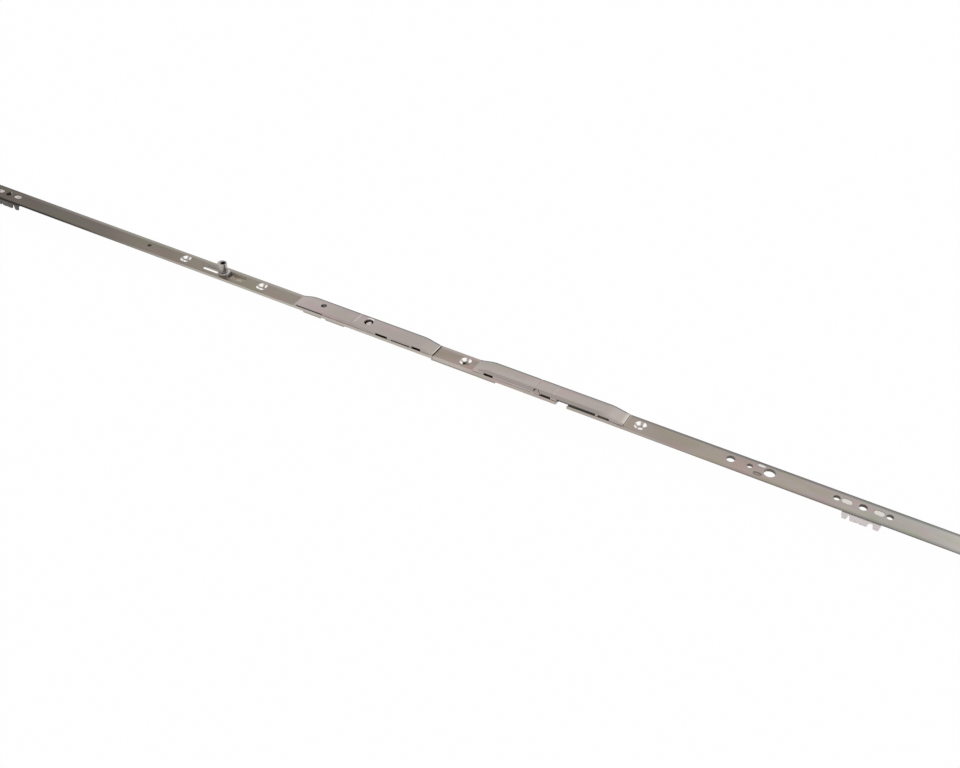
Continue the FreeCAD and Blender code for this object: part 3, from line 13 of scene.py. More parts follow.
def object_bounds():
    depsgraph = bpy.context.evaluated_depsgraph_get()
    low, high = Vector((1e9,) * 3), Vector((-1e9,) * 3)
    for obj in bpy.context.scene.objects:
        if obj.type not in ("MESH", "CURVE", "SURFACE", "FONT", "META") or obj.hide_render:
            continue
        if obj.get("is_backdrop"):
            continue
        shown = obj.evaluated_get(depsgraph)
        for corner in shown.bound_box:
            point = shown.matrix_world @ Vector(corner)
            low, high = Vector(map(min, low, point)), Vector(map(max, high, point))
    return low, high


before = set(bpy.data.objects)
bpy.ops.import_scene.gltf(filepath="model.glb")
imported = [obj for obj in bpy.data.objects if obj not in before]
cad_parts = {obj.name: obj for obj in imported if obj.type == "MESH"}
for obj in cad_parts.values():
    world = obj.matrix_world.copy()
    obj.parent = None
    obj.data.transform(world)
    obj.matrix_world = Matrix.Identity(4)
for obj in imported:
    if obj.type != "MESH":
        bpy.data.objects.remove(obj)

LOG = logging.getLogger("espagnolette")
MM = 0.001

Pair = Tuple[float, float]
Triple = Tuple[float, float, float]
Colour = Triple

# The share of a soft band's half width that has its full strength
BAND_CORE = 0.4
# Rays for each softened corner
BEVEL_SAMPLES = 6


def grey(value: float) -> Colour:
    """A neutral colour of one linear value."""
    return (value, value, value)


# Shader building


class Sock:
    """One shader socket that can be used in sums, products and comparisons."""

    def __init__(self, tree: "ShaderTree", socket: Any) -> None:
        """Wraps a socket.

        Args:
            tree: The tree that new maths nodes go into.
            socket: The output socket that this object stands for.
        """
        self.tree = tree
        self.socket = socket

    def _maths(self, operation: str, first: Any, second: Any) -> "Sock":
        """Adds one Math node.

        Args:
            operation: The node's operation.
            first: The first value, a Sock or a number.
            second: The second value, a Sock or a number.

        Returns:
            The node's output.
        """
        return self.tree.add("ShaderNodeMath", {"operation": operation}, {0: first, 1: second})

    def __add__(self, other: Any) -> "Sock":
        """This value plus another."""
        return self._maths("ADD", self, other)

    __radd__ = __add__

    def __sub__(self, other: Any) -> "Sock":
        """This value minus another."""
        return self._maths("SUBTRACT", self, other)

    def __rsub__(self, other: Any) -> "Sock":
        """Another value minus this one."""
        return self._maths("SUBTRACT", other, self)

    def __mul__(self, other: Any) -> "Sock":
        """This value times another."""
        return self._maths("MULTIPLY", self, other)

    __rmul__ = __mul__

    def __truediv__(self, other: Any) -> "Sock":
        """This value over another."""
        return self._maths("DIVIDE", self, other)

    def __rtruediv__(self, other: Any) -> "Sock":
        """Another value over this one."""
        return self._maths("DIVIDE", other, self)

    def __pow__(self, other: Any) -> "Sock":
        """This value to a power."""
        return self._maths("POWER", self, other)

    def __rpow__(self, other: Any) -> "Sock":
        """Another value to the power of this one."""
        return self._maths("POWER", other, self)

    def __lt__(self, other: Any) -> "Sock":
        """1 where this value is the smaller."""
        return self._maths("LESS_THAN", self, other)

    def __gt__(self, other: Any) -> "Sock":
        """1 where this value is the larger."""
        return self._maths("GREATER_THAN", self, other)

    def __abs__(self) -> "Sock":
        """This value without its sign."""
        return self._maths("ABSOLUTE", self, 0.0)

    def most(self, other: Any) -> "Sock":
        """The larger of this value and another."""
        return self._maths("MAXIMUM", self, other)


def total(parts: Sequence[Sock]) -> Sock:
    """The sum of several values."""
    return sum(parts[1:], parts[0])


class ShaderTree:
    """The node tree of a material or the world, with one method that makes every node."""

    def __init__(self, owner: Any) -> None:
        """Empties the owner's tree.

        Args:
            owner: The material or world that the tree belongs to.
        """
        self.owner = owner
        owner.use_nodes = True
        self.nodes = owner.node_tree.nodes
        self.links = owner.node_tree.links
        self.nodes.clear()
        self.coordinates: Optional[Sock] = None

    @classmethod
    def named(cls, name: str) -> "ShaderTree":
        """The tree of a new material of this name."""
        return cls(bpy.data.materials.new(name))

    def node(self, kind: str, settings: Dict[str, Any], inputs: Dict[Any, Any]) -> Any:
        """Makes one node.

        Args:
            kind: The node's type name.
            settings: Its properties, with a ramp's stops under the key "stops".
            inputs: Values or Socks by the input's name or number.

        Returns:
            The node.
        """
        made = self.nodes.new(kind)
        for key, value in settings.items():
            if key == "stops":
                self._fill_ramp(made.color_ramp, value)
            else:
                setattr(made, key, value)
        for key, value in inputs.items():
            target = made.inputs[key]
            if isinstance(value, Sock):
                self.links.new(value.socket, target)
            elif isinstance(value, tuple) and len(value) == 3 and target.type == "RGBA":
                target.default_value = (*value, 1.0)
            else:
                target.default_value = value
        return made

    @staticmethod
    def _fill_ramp(ramp: Any, stops: Sequence[Tuple[float, Colour]]) -> None:
        """Sets a colour ramp's stops.

        Args:
            ramp: The ramp.
            stops: Position and colour of each stop, from left to right.
        """
        while len(ramp.elements) < len(stops):
            ramp.elements.new(0.5)
        for element, (place, colour) in zip(ramp.elements, stops):
            element.position = place
            element.color = (*colour, 1.0)

    def add(self, kind: str, settings: Dict[str, Any], inputs: Dict[Any, Any], out: Any = 0) -> Sock:
        """Makes one node and gives one of its outputs.

        Args:
            kind: The node's type name.
            settings: Its properties.
            inputs: Its inputs.
            out: The output's name or number.

        Returns:
            The output.
        """
        return Sock(self, self.node(kind, settings, inputs).outputs[out])

    def place(self) -> Sock:
        """The object coordinates, in metres."""
        if self.coordinates is None:
            self.coordinates = self.add("ShaderNodeTexCoord", {}, {}, "Object")
        return self.coordinates

    def axes(self) -> Tuple[Sock, Sock, Sock]:
        """X, Y and Z of the object coordinates, in metres."""
        split = self.node("ShaderNodeSeparateXYZ", {}, {0: self.place()})
        return tuple(Sock(self, split.outputs[i]) for i in range(3))

    def facing(self) -> Sock:
        """How far a face looks up, from -1 to 1."""
        turned = self.add("ShaderNodeTexCoord", {}, {}, "Normal")
        return self.add("ShaderNodeSeparateXYZ", {}, {0: turned}, 2)

    def noise(self, stretch: Triple, detail: float, roughness: float = 0.5) -> Sock:
        """Noise about 0.5.

        Args:
            stretch: Waves per metre along X, Y and Z.
            detail: Number of octaves.
            roughness: Share of the finer octaves.

        Returns:
            The noise's value.
        """
        scaled = self.tint(self.place(), stretch)
        return self.add(
            "ShaderNodeTexNoise",
            {"noise_dimensions": "3D"},
            {"Vector": scaled, "Scale": 1.0, "Detail": detail, "Roughness": roughness},
        )

    def mix(self, factor: Any, first: Any, second: Any) -> Sock:
        """A colour between two.

        Args:
            factor: 0 for the first, 1 for the second.
            first: A colour or a Sock.
            second: A colour or a Sock.

        Returns:
            The mixed colour.
        """
        settings = {"data_type": "RGBA", "blend_type": "MIX", "clamp_factor": True}
        return self.add("ShaderNodeMix", settings, {0: factor, 6: first, 7: second}, 2)

    def ramp(self, value: Sock, stops: Sequence[Tuple[float, Colour]]) -> Sock:
        """A colour that runs through stops as the value runs from 0 to 1."""
        return self.add("ShaderNodeValToRGB", {"stops": stops}, {"Fac": value})

    def band(self, value: Sock, centre: float, half: float) -> Sock:
        """1 in a soft-edged band of the given half width about a centre."""
        return self.step(abs(value - centre), half, half * BAND_CORE)

    def tint(self, colour: Any, tone: Triple) -> Sock:
        """A colour or vector times another, part by part."""
        return self.add("ShaderNodeVectorMath", {"operation": "MULTIPLY"}, {0: colour, 1: tone})

    def step(self, value: Sock, low: float, high: float) -> Sock:
        """Value mapped smoothly so that low gives 0 and high gives 1."""
        return self.add(
            "ShaderNodeMapRange",
            {"interpolation_type": "SMOOTHSTEP"},
            {"Value": value, "From Min": low, "From Max": high, "To Min": 0.0, "To Max": 1.0},
        )

    def soft_normal(self, radius: float, height: Sock, strength: float, distance: float) -> Sock:
        """A normal with softened corners and a fine relief.

        Args:
            radius: Radius of the softened corners, in metres.
            height: The relief, about 0 to 1.
            strength: Strength of the relief.
            distance: Depth of the relief, in metres.

        Returns:
            The normal.
        """
        corner = self.add("ShaderNodeBevel", {"samples": BEVEL_SAMPLES}, {"Radius": radius})
        return self.add(
            "ShaderNodeBump",
            {},
            {"Strength": strength, "Distance": distance, "Height": height, "Normal": corner},
        )

    def surface(self, inputs: Dict[str, Any]) -> bpy.types.Material:
        """Ends the tree in a principled shader.

        Args:
            inputs: The shader's inputs.

        Returns:
            The material.
        """
        shader = self.add("ShaderNodeBsdfPrincipled", {}, inputs)
        self.node("ShaderNodeOutputMaterial", {}, {"Surface": shader})
        return self.owner


# Finishes, with the painted highlights and painted shade laid on them

# How far a face may tilt and still count as the upright wall of a hole
UPRIGHT = 0.3
# Keeps a division by a radius of nothing harmless
TINY = 1e-9
# How far along a piece the finish of one hole reaches
HOLE_REACH = 6.0 * MM


@dataclass(frozen=True)
class Layer:
    """A noise about 0.5, with the span and share in which it shows as a layer of another tone."""

    waves: Triple
    detail: float
    finer: float = 0.5
    span: Pair = (0.0, 1.0)
    share: float = 1.0
    relief: float = 0.0

    def noise(self, tree: ShaderTree) -> Sock:
        """The noise itself."""
        return tree.noise(self.waves, self.detail, self.finer)

    def mask(self, tree: ShaderTree, noise: Sock, scale: float = 1.0) -> Sock:
        """How much of the layer shows, for its noise and a scale of its share."""
        return tree.step(noise, *self.span) * (self.share * scale)


@dataclass(frozen=True)
class Tones:
    """The colours of one plating, from its dark left-hand end to its bright right-hand end, with painted
    cool shade towards the far edge.
    """

    stops: Tuple[Tuple[float, Colour], ...]
    bright: Colour
    dark: Colour = (0.035, 0.031, 0.027)
    rosy: Colour = (1.07, 0.94, 0.96)
    green: Colour = (0.96, 0.99, 0.88)
    far_shade_tint: Colour = (0.88, 0.93, 0.98)
    ends: Pair = (-0.56, 0.44)
    clouds: Layer = Layer((22.0, 60.0, 60.0), 3.0, share=0.05)
    patches: Layer = Layer((38.0, 120.0, 120.0), 2.0)
    rosy_span: Pair = (0.53, 0.64)
    green_span: Pair = (0.47, 0.36)
    shade: Layer = Layer((14.0, 40.0, 40.0), 2.0, span=(0.60, 0.35), share=0.12)
    far_shade_across: Pair = (1.0 * MM, 7.0 * MM)
    far_shade_share: float = 0.5

    def paint(self, tree: ShaderTree, x: Sock, y: Sock) -> Sock:
        """The plating's colour, which changes slowly along the piece and in faint patches, and turns
        cooler and darker towards the far edge as painted shade.

        Args:
            tree: The tree to build in.
            x: The place along the piece.
            y: The place across it.

        Returns:
            The colour.
        """
        left, right = self.ends
        along = (x - left) * (1.0 / (right - left))
        colour = tree.ramp(along + (self.clouds.noise(tree) - 0.5) * self.clouds.share, self.stops)
        patches = self.patches.noise(tree)
        colour = tree.mix(tree.step(patches, *self.rosy_span), colour, tree.tint(colour, self.rosy))
        colour = tree.mix(tree.step(patches, *self.green_span), colour, tree.tint(colour, self.green))
        colour = tree.mix(self.shade.mask(tree, self.shade.noise(tree)), colour, self.dark)
        # Painted shade: the far half turns cooler and a little darker.
        far = tree.step(y, *self.far_shade_across) * self.far_shade_share
        return tree.mix(far, colour, tree.tint(colour, self.far_shade_tint))


@dataclass(frozen=True)
class StripShading:
    """Painted highlights and painted shade along the long edges of the faceplate: grey shade and lit bands
    by the far edge, a lit line by the near edge, a sheen on the edge faces, and shade on the lower front
    face that goes near black at the left end.
    """

    top_from: float = 2.3 * MM
    fade_across: Pair = (4.0 * MM, 7.0 * MM)
    fade_along: Pair = (0.02, 0.25)
    fade_share: float = 0.74
    fade_tone: Colour = (0.118, 0.119, 0.114)
    far_across: Pair = (4.6 * MM, 5.7 * MM)
    far_start: Pair = (-0.52, -0.36)
    far_end: Pair = (0.12, 0.02)
    far_share: float = 0.25
    inner_line: Pair = (4.60 * MM, 0.45 * MM)
    inner_share: float = 0.12
    rim_line: Pair = (-7.50 * MM, 0.52 * MM)
    rim_along: Pair = (-0.160, 0.132)
    rim_share: float = 0.50
    edge_across: Pair = (7.90 * MM, 7.98 * MM)
    shine_start: Pair = (-0.40, -0.22)
    shine_middle: Pair = (0.012, 0.0)
    shine_end: Pair = (0.24, 0.12)
    shine_shares: Triple = (0.02, 0.26, 0.28)
    lower_height: Pair = (1.3 * MM, 1.0 * MM)
    lower_along: Pair = (0.12, 0.30)
    lower_shares: Pair = (0.02, 0.48)
    front_shade_along: Pair = (-0.33, -0.45)
    front_shade_height: Pair = (2.3 * MM, 1.6 * MM)
    front_shade_share: float = 0.95
    front_shade_tone: Colour = (0.006, 0.005, 0.004)

    def paint(self, tree: ShaderTree, tones: Tones, colour: Sock, x: Sock, y: Sock, z: Sock) -> Sock:
        """Adds the painted highlights and painted shade to a colour.

        Args:
            tree: The tree to build in.
            tones: The plating's tones.
            colour: The colour so far.
            x: The place along the strip.
            y: The place across it.
            z: The height.

        Returns:
            The colour with the lines.
        """
        top = z > self.top_from
        fade = tree.step(y, *self.fade_across) * tree.step(x, *self.fade_along) * top
        far = tree.step(y, *self.far_across) * tree.step(x, *self.far_start) * top
        far = far * tree.step(x, *self.far_end)
        inner = tree.band(y, *self.inner_line) * top
        rim = tree.band(y, *self.rim_line) * top * (x > self.rim_along[0]) * (x < self.rim_along[1])
        colour = tree.mix(fade * self.fade_share, colour, self.fade_tone)
        for line, share in ((far, self.far_share), (inner, self.inner_share), (rim, self.rim_share)):
            colour = tree.mix(line * share, colour, tones.bright)
        edge = tree.step(abs(y), *self.edge_across)
        least, middle, end = self.shine_shares
        level = tree.step(x, *self.shine_middle) * middle + tree.step(x, *self.shine_end) * end
        colour = tree.mix(edge * (tree.step(x, *self.shine_start) * level + least), colour, tones.bright)
        least, most = self.lower_shares
        lower = tree.step(z, *self.lower_height) * edge
        colour = tree.mix(lower * (tree.step(x, *self.lower_along) * most + least), colour, tones.dark)
        # Painted shade: the front face goes near black towards the left end.
        front_shade = tree.step(x, *self.front_shade_along) * tree.step(z, *self.front_shade_height)
        return tree.mix(edge * front_shade * self.front_shade_share, colour, self.front_shade_tone)


@dataclass(frozen=True)
class ChannelShading:
    """Painted shade on the bends and at the feet of a pressed channel."""

    far_bend: Pair = (4.90 * MM, 6.10 * MM)
    far_share: float = 0.75
    near_bend: Pair = (-4.4 * MM, -5.6 * MM)
    near_from: float = 0.0
    near_end: Pair = (0.126, 0.112)
    near_share: float = 0.27
    bend_height: float = 4.4 * MM
    bend_tone: Colour = (0.100, 0.103, 0.100)
    foot_across: Pair = (6.9 * MM, 7.3 * MM)
    foot_height: Pair = (3.1 * MM, 2.5 * MM)
    foot_end: float = 0.115
    foot_share: float = 0.15

    def paint(self, tree: ShaderTree, tones: Tones, colour: Sock, x: Sock, y: Sock, z: Sock) -> Sock:
        """Adds the painted shade on the bends and feet to a colour.

        Args:
            tree: The tree to build in.
            tones: The plating's tones.
            colour: The colour so far.
            x: The place along the channel.
            y: The place across it.
            z: The height.

        Returns:
            The colour with the bends.
        """
        far = tree.step(y, *self.far_bend)
        near = tree.step(y, *self.near_bend) * (z > self.bend_height) * (x > self.near_from)
        near = near * tree.step(x, *self.near_end)
        foot = tree.step(z, *self.foot_height) * tree.step(abs(y), *self.foot_across)
        colour = tree.mix(far * self.far_share, colour, self.bend_tone)
        colour = tree.mix(near * self.near_share, colour, tones.dark)
        return tree.mix(foot * (x < self.foot_end) * self.foot_share, colour, tones.dark)


class PaintedShading(Enum):
    """Which painted highlights and painted shade a plated piece has along its edges and bends."""

    NONE = None
    ROLLED_STRIP = StripShading()
    PRESSED_CHANNEL = ChannelShading()


@dataclass(frozen=True)
class Line:
    """A thin line across a piece."""

    place: float
    half: float
    share: float


@dataclass(frozen=True)
class TonePatch:
    """A length of a piece in another tone."""

    place: float
    half: float
    tone: Colour
    share: float = 0.8


@dataclass(frozen=True)
class GapShading:
    """A length of the faceplate's top along its near edge that carries painted shade under a slit, or
    painted light in a shaded gap.
    """

    start: float
    end: float
    tone: Colour
    across: Pair = (-7.7 * MM, -4.6 * MM)
    height: float = 2.3 * MM
    share: float = 0.90


@dataclass(frozen=True)
class Bore:
    """The walls of the holes in a length of a piece, or the lower wall of one slot in it; the tone is
    painted shade where dark and painted light where pale.
    """

    start: float
    end: float
    tone: Colour
    share: float = 0.9
    slot_y: Optional[float] = None
    slot_half: float = 2.5 * MM
    slot_height: float = 1.40 * MM

    def mask(self, wall: Sock, x: Sock, y: Sock, z: Sock) -> Sock:
        """The share of this tone on the walls.

        Args:
            wall: The mask of all walls.
            x: The place along the piece.
            y: The place across it.
            z: The height.

        Returns:
            The mask.
        """
        here = wall * (x > self.start) * (x < self.end)
        if self.slot_y is not None:
            here = here * (abs(y - self.slot_y) < self.slot_half) * (z < self.slot_height)
        return here * self.share


@dataclass(frozen=True)
class Crescent:
    """A painted highlight along part of a ring about a hole."""

    centre: float
    radius: float
    half: float
    toward: Pair
    tone: Colour
    height: float = 6.2 * MM
    lean_span: Pair = (0.70, 0.92)


@dataclass(frozen=True)
class Hollow:
    """Painted shade on the inside of a pressed channel, left out about its hinge seam."""

    half: float
    ceiling: float
    seam: float
    seam_reach: float = 9.0 * MM
    share: float = 0.92
    tone: Colour = (0.026, 0.020, 0.017)


@dataclass(frozen=True)
class Cones:
    """The coned faces of countersunk holes, painted near white as a painted reflection that is brightest
    on four lobes.
    """

    centres: Tuple[float, ...]
    inner: float = 2.4 * MM
    outer: float = 4.72 * MM
    top: float = 2.47 * MM
    reach: float = 5.0 * MM
    lobe_span: Pair = (0.45, 0.85)
    between: float = 0.15
    gloss: float = 0.14
    tone: Colour = (0.96, 0.95, 0.93)

    def mask(self, tree: ShaderTree, x: Sock, y: Sock, z: Sock) -> Sock:
        """The mask of the cones, 1 on the lobes and less between them.

        Args:
            tree: The tree to build in.
            x: The place along the strip.
            y: The place across it.
            z: The height.

        Returns:
            The mask.
        """
        offset = total([(x - centre) * (abs(x - centre) < self.reach) for centre in self.centres])
        radius = (offset * offset + y * y) ** 0.5
        lobes = abs(offset * y) / (radius * radius + TINY) * 2.0
        cone = (radius < self.outer) * (z < self.top) * (radius > self.inner)
        return cone * (tree.step(lobes, *self.lobe_span) * (1.0 - self.between) + self.between)


@dataclass(frozen=True)
class Plating:
    """Electroplated and passivated steel, with the rolling grain of its strip, and the painted highlights
    and painted shade that its fields ask for.
    """

    name: str
    tones: Tones
    roughness: float = 0.36
    grain: float = 0.14
    corner: float = 0.15 * MM
    relief_strength: float = 0.25
    relief_depth: float = 0.02 * MM
    metallic: float = 1.0
    wall_matt: float = 0.9
    pitting: float = 1.0
    rolling: Layer = Layer((60.0, 9000.0, 500.0), 3.0, 0.6, (0.35, 0.75), 0.10, 0.6)
    scratches: Layer = Layer((160.0, 2600.0, 500.0), 4.0, 0.7, (0.60, 0.74), 0.16, 0.2)
    specks: Layer = Layer(grey(5200.0), 2.0, 0.5, (0.62, 0.80), 0.18, 0.2)
    blooms: Layer = Layer((70.0, 150.0, 150.0), 4.0, 0.6, share=0.10)
    painted_shading: PaintedShading = PaintedShading.NONE
    cones: Optional[Cones] = None
    bright_lines: Tuple[Line, ...] = ()
    dark_lines: Tuple[Line, ...] = ()
    tone_patches: Tuple[TonePatch, ...] = ()
    crescents: Tuple[Crescent, ...] = ()
    lit_holes: Tuple[float, ...] = ()
    hollow: Optional[Hollow] = None
    gap_shadings: Tuple[GapShading, ...] = ()
    bores: Tuple[Bore, ...] = ()
    line_end: float = -5.6 * MM
    wall_reach: float = 5.8 * MM
    slot_reach: float = 1.3 * MM
    slots_from: float = 0.2

    def walls(self, tree: ShaderTree, x: Sock, y: Sock) -> Optional[Sock]:
        """The mask of the walls of holes, which are duller than the faces.

        Args:
            tree: The tree to build in.
            x: The place along the piece.
            y: The place across it.

        Returns:
            1 on the walls, or None for a piece whose holes don't show them.
        """
        if not self.bores and not self.lit_holes:
            return None
        reach = (x > self.slots_from) * self.slot_reach + self.wall_reach
        upright = (abs(tree.facing()) < UPRIGHT) * (abs(y) < reach)
        if self.bores:
            return upright
        return upright * total([abs(x - centre) < HOLE_REACH for centre in self.lit_holes])

    def drawn_lines(self, tree: ShaderTree, colour: Sock, x: Sock, y: Sock) -> Sock:
        """Thin lines across a piece, painted highlights and painted shadows at seams and at the ends of
        ramps, and lengths in other tones.

        Args:
            tree: The tree to build in.
            colour: The colour so far.
            x: The place along the piece.
            y: The place across it.

        Returns:
            The colour with the lines.
        """
        upper = y > self.line_end
        for line in self.bright_lines:
            mask = tree.band(x, line.place, line.half) * upper * line.share
            colour = tree.mix(mask, colour, self.tones.bright)
        for line in self.dark_lines:
            colour = tree.mix(tree.band(x, line.place, line.half) * line.share, colour, self.tones.dark)
        for tone_patch in self.tone_patches:
            colour = tree.mix(tree.band(x, tone_patch.place, tone_patch.half) * tone_patch.share, colour, tone_patch.tone)
        return colour

    def hole_marks(self, tree: ShaderTree, colour: Sock, x: Sock, y: Sock, z: Sock) -> Sock:
        """Painted highlights on the rims of holes, painted shade on the inside of a channel, and painted
        shade and painted light on the faceplate's top beside its foot.

        Args:
            tree: The tree to build in.
            colour: The colour so far.
            x: The place along the piece.
            y: The place across it.
            z: The height.

        Returns:
            The colour with the marks.
        """
        for mark in self.crescents:
            along = x - mark.centre
            reach = (along * along + y * y) ** 0.5
            lean = (along * mark.toward[0] + y * mark.toward[1]) / (reach + TINY)
            ring = tree.band(reach, mark.radius, mark.half) * (z > mark.height)
            colour = tree.mix(ring * tree.step(lean, *mark.lean_span), colour, mark.tone)
        if self.hollow is not None:
            inside = (abs(y) < self.hollow.half) * (tree.facing() < UPRIGHT) * (z < self.hollow.ceiling)
            inside = inside * (abs(x - self.hollow.seam) > self.hollow.seam_reach)
            for centre in self.lit_holes:
                inside = inside * (abs(x - centre) > HOLE_REACH)
            colour = tree.mix(inside * self.hollow.share, colour, self.hollow.tone)
        # Painted shade and painted light on the faceplate's top where it shows through slits and gaps.
        for gap_shading in self.gap_shadings:
            mask = (x > gap_shading.start) * (x < gap_shading.end) * (z > gap_shading.height)
            mask = mask * (y > gap_shading.across[0]) * (y < gap_shading.across[1])
            colour = tree.mix(mask * gap_shading.share, colour, gap_shading.tone)
        return colour

    def make(self) -> bpy.types.Material:
        """Builds the material."""
        tree = ShaderTree.named(self.name)
        x, y, z = tree.axes()
        tones = self.tones
        rolling, scratches, specks = (
            layer.noise(tree) for layer in (self.rolling, self.scratches, self.specks)
        )
        colour = tones.paint(tree, x, y)
        colour = tree.mix(self.rolling.mask(tree, rolling), colour, tones.bright)
        colour = tree.mix(self.scratches.mask(tree, scratches, self.pitting), colour, tones.dark)
        colour = tree.mix(self.specks.mask(tree, specks, self.pitting), colour, tones.dark)
        # Painted highlights and painted shade along the edges and bends.
        if self.painted_shading is not PaintedShading.NONE:
            colour = self.painted_shading.value.paint(tree, tones, colour, x, y, z)
        colour = self.drawn_lines(tree, colour, x, y)
        blooms = (self.blooms.noise(tree) - 0.5) * self.blooms.share
        rough = (rolling - 0.5) * self.grain + blooms + self.roughness
        if self.cones is not None:
            # Painted reflection: the cones are painted near white, brightest on four lobes.
            cone = self.cones.mask(tree, x, y, z)
            colour = tree.mix(cone, colour, self.cones.tone)
            rough = rough - cone * self.cones.gloss
        colour = self.hole_marks(tree, colour, x, y, z)
        metallic: Any = self.metallic
        wall = self.walls(tree, x, y)
        if wall is not None:
            metallic = self.metallic - wall * self.wall_matt
            # Painted shade and painted light on the walls of holes and slots.
            for bore in self.bores:
                colour = tree.mix(bore.mask(wall, x, y, z), colour, bore.tone)
        relief = rolling * self.rolling.relief + specks * self.specks.relief
        relief = relief + scratches * self.scratches.relief
        return tree.surface(
            {
                "Base Color": colour,
                "Metallic": metallic,
                "Roughness": rough,
                "Normal": tree.soft_normal(self.corner, relief, self.relief_strength, self.relief_depth),
            }
        )


@dataclass(frozen=True)
class Shadow:
    """The dark side of a turned piece, by its direction and where it starts."""

    toward: Pair
    start: float
    soft: float = 0.8 * MM
    share: float = 0.9
    tone: Colour = (0.050, 0.037, 0.032)


@dataclass(frozen=True)
class Streak:
    """A painted highlight or painted shade in a band along a turned piece, by the sine of its turn about
    the axis.
    """

    turn: float
    half: float
    share: float
    tone: Colour


@dataclass(frozen=True)
class KeySocket:
    """Painted shade in the hexagon socket of a bolt's head, with a dark ring about its edge."""

    centre_x: float
    top: float
    hole: float = 2.3 * MM
    hole_depth: float = 0.6 * MM
    hole_share: float = 0.92
    edge_ring: Pair = (2.9 * MM, 2.4 * MM)
    edge_ring_depth: float = 0.5 * MM
    edge_ring_share: float = 0.75
    hole_tone: Colour = (0.020, 0.015, 0.011)
    edge_ring_tone: Colour = (0.045, 0.034, 0.026)

    def paint(self, tree: ShaderTree, colour: Sock, x: Sock, y: Sock, z: Sock) -> Sock:
        """Adds the socket to a colour.

        Args:
            tree: The tree to build in.
            colour: The colour so far.
            x: The place along the object.
            y: The place across it.
            z: The height.

        Returns:
            The colour with the socket.
        """
        along = x - self.centre_x
        reach = (along * along + y * y) ** 0.5
        # Painted shade: the socket darkens with its depth.
        depth = tree.step(z, self.top, self.top - self.hole_depth)
        colour = tree.mix(depth * (reach < self.hole) * self.hole_share, colour, self.hole_tone)
        edge_ring = tree.step(reach, *self.edge_ring) * (z > self.top - self.edge_ring_depth)
        return tree.mix(edge_ring * self.edge_ring_share, colour, self.edge_ring_tone)


@dataclass(frozen=True)
class TurnedSteel:
    """Turned or milled steel with circular tool lines about an axis along Z."""

    name: str
    base: Colour
    dull: Colour
    centre_x: float
    roughness: float = 0.30
    metallic: float = 1.0
    corner: float = 0.12 * MM
    relief_strength: float = 0.22
    relief_depth: float = 0.02 * MM
    ring_waves: Pair = (6000.0, 7000.0)
    ring_detail: float = 2.0
    ring_span: Pair = (0.45, 0.8)
    ring_share: float = 0.3
    ring_tone: Colour = grey(0.62)
    ring_spread: float = 0.22
    blots: Layer = Layer(grey(260.0), 3.0, 0.6, (0.40, 0.65))
    blot_spread: float = 0.15
    shadow: Optional[Shadow] = None
    socket: Optional[KeySocket] = None
    streaks: Tuple[Streak, ...] = ()

    def make(self) -> bpy.types.Material:
        """Builds the material."""
        tree = ShaderTree.named(self.name)
        x, y, z = tree.axes()
        along = x - self.centre_x
        radius = (along * along + y * y) ** 0.5
        outward, upward = self.ring_waves
        turning = tree.add("ShaderNodeCombineXYZ", {}, {0: radius * outward, 1: z * upward})
        rings = tree.add(
            "ShaderNodeTexNoise",
            {"noise_dimensions": "2D"},
            {"Vector": turning, "Scale": 1.0, "Detail": self.ring_detail},
        )
        blots = self.blots.noise(tree)
        colour = tree.mix(self.blots.mask(tree, blots), self.base, self.dull)
        colour = tree.mix(tree.step(rings, *self.ring_span) * self.ring_share, colour, self.ring_tone)
        if self.shadow is not None:
            toward = along * self.shadow.toward[0] + y * self.shadow.toward[1]
            side = tree.step(toward, self.shadow.start, self.shadow.start + self.shadow.soft)
            colour = tree.mix(side * self.shadow.share, colour, self.shadow.tone)
        for streak in self.streaks:
            facet = tree.band(y / (radius + TINY), streak.turn, streak.half) * (along > 0.0)
            colour = tree.mix(facet * streak.share, colour, streak.tone)
        if self.socket is not None:
            colour = self.socket.paint(tree, colour, x, y, z)
        rough = (rings - 0.5) * self.ring_spread + (blots - 0.5) * self.blot_spread + self.roughness
        return tree.surface(
            {
                "Base Color": colour,
                "Metallic": self.metallic,
                "Roughness": rough,
                "Normal": tree.soft_normal(self.corner, rings, self.relief_strength, self.relief_depth),
            }
        )


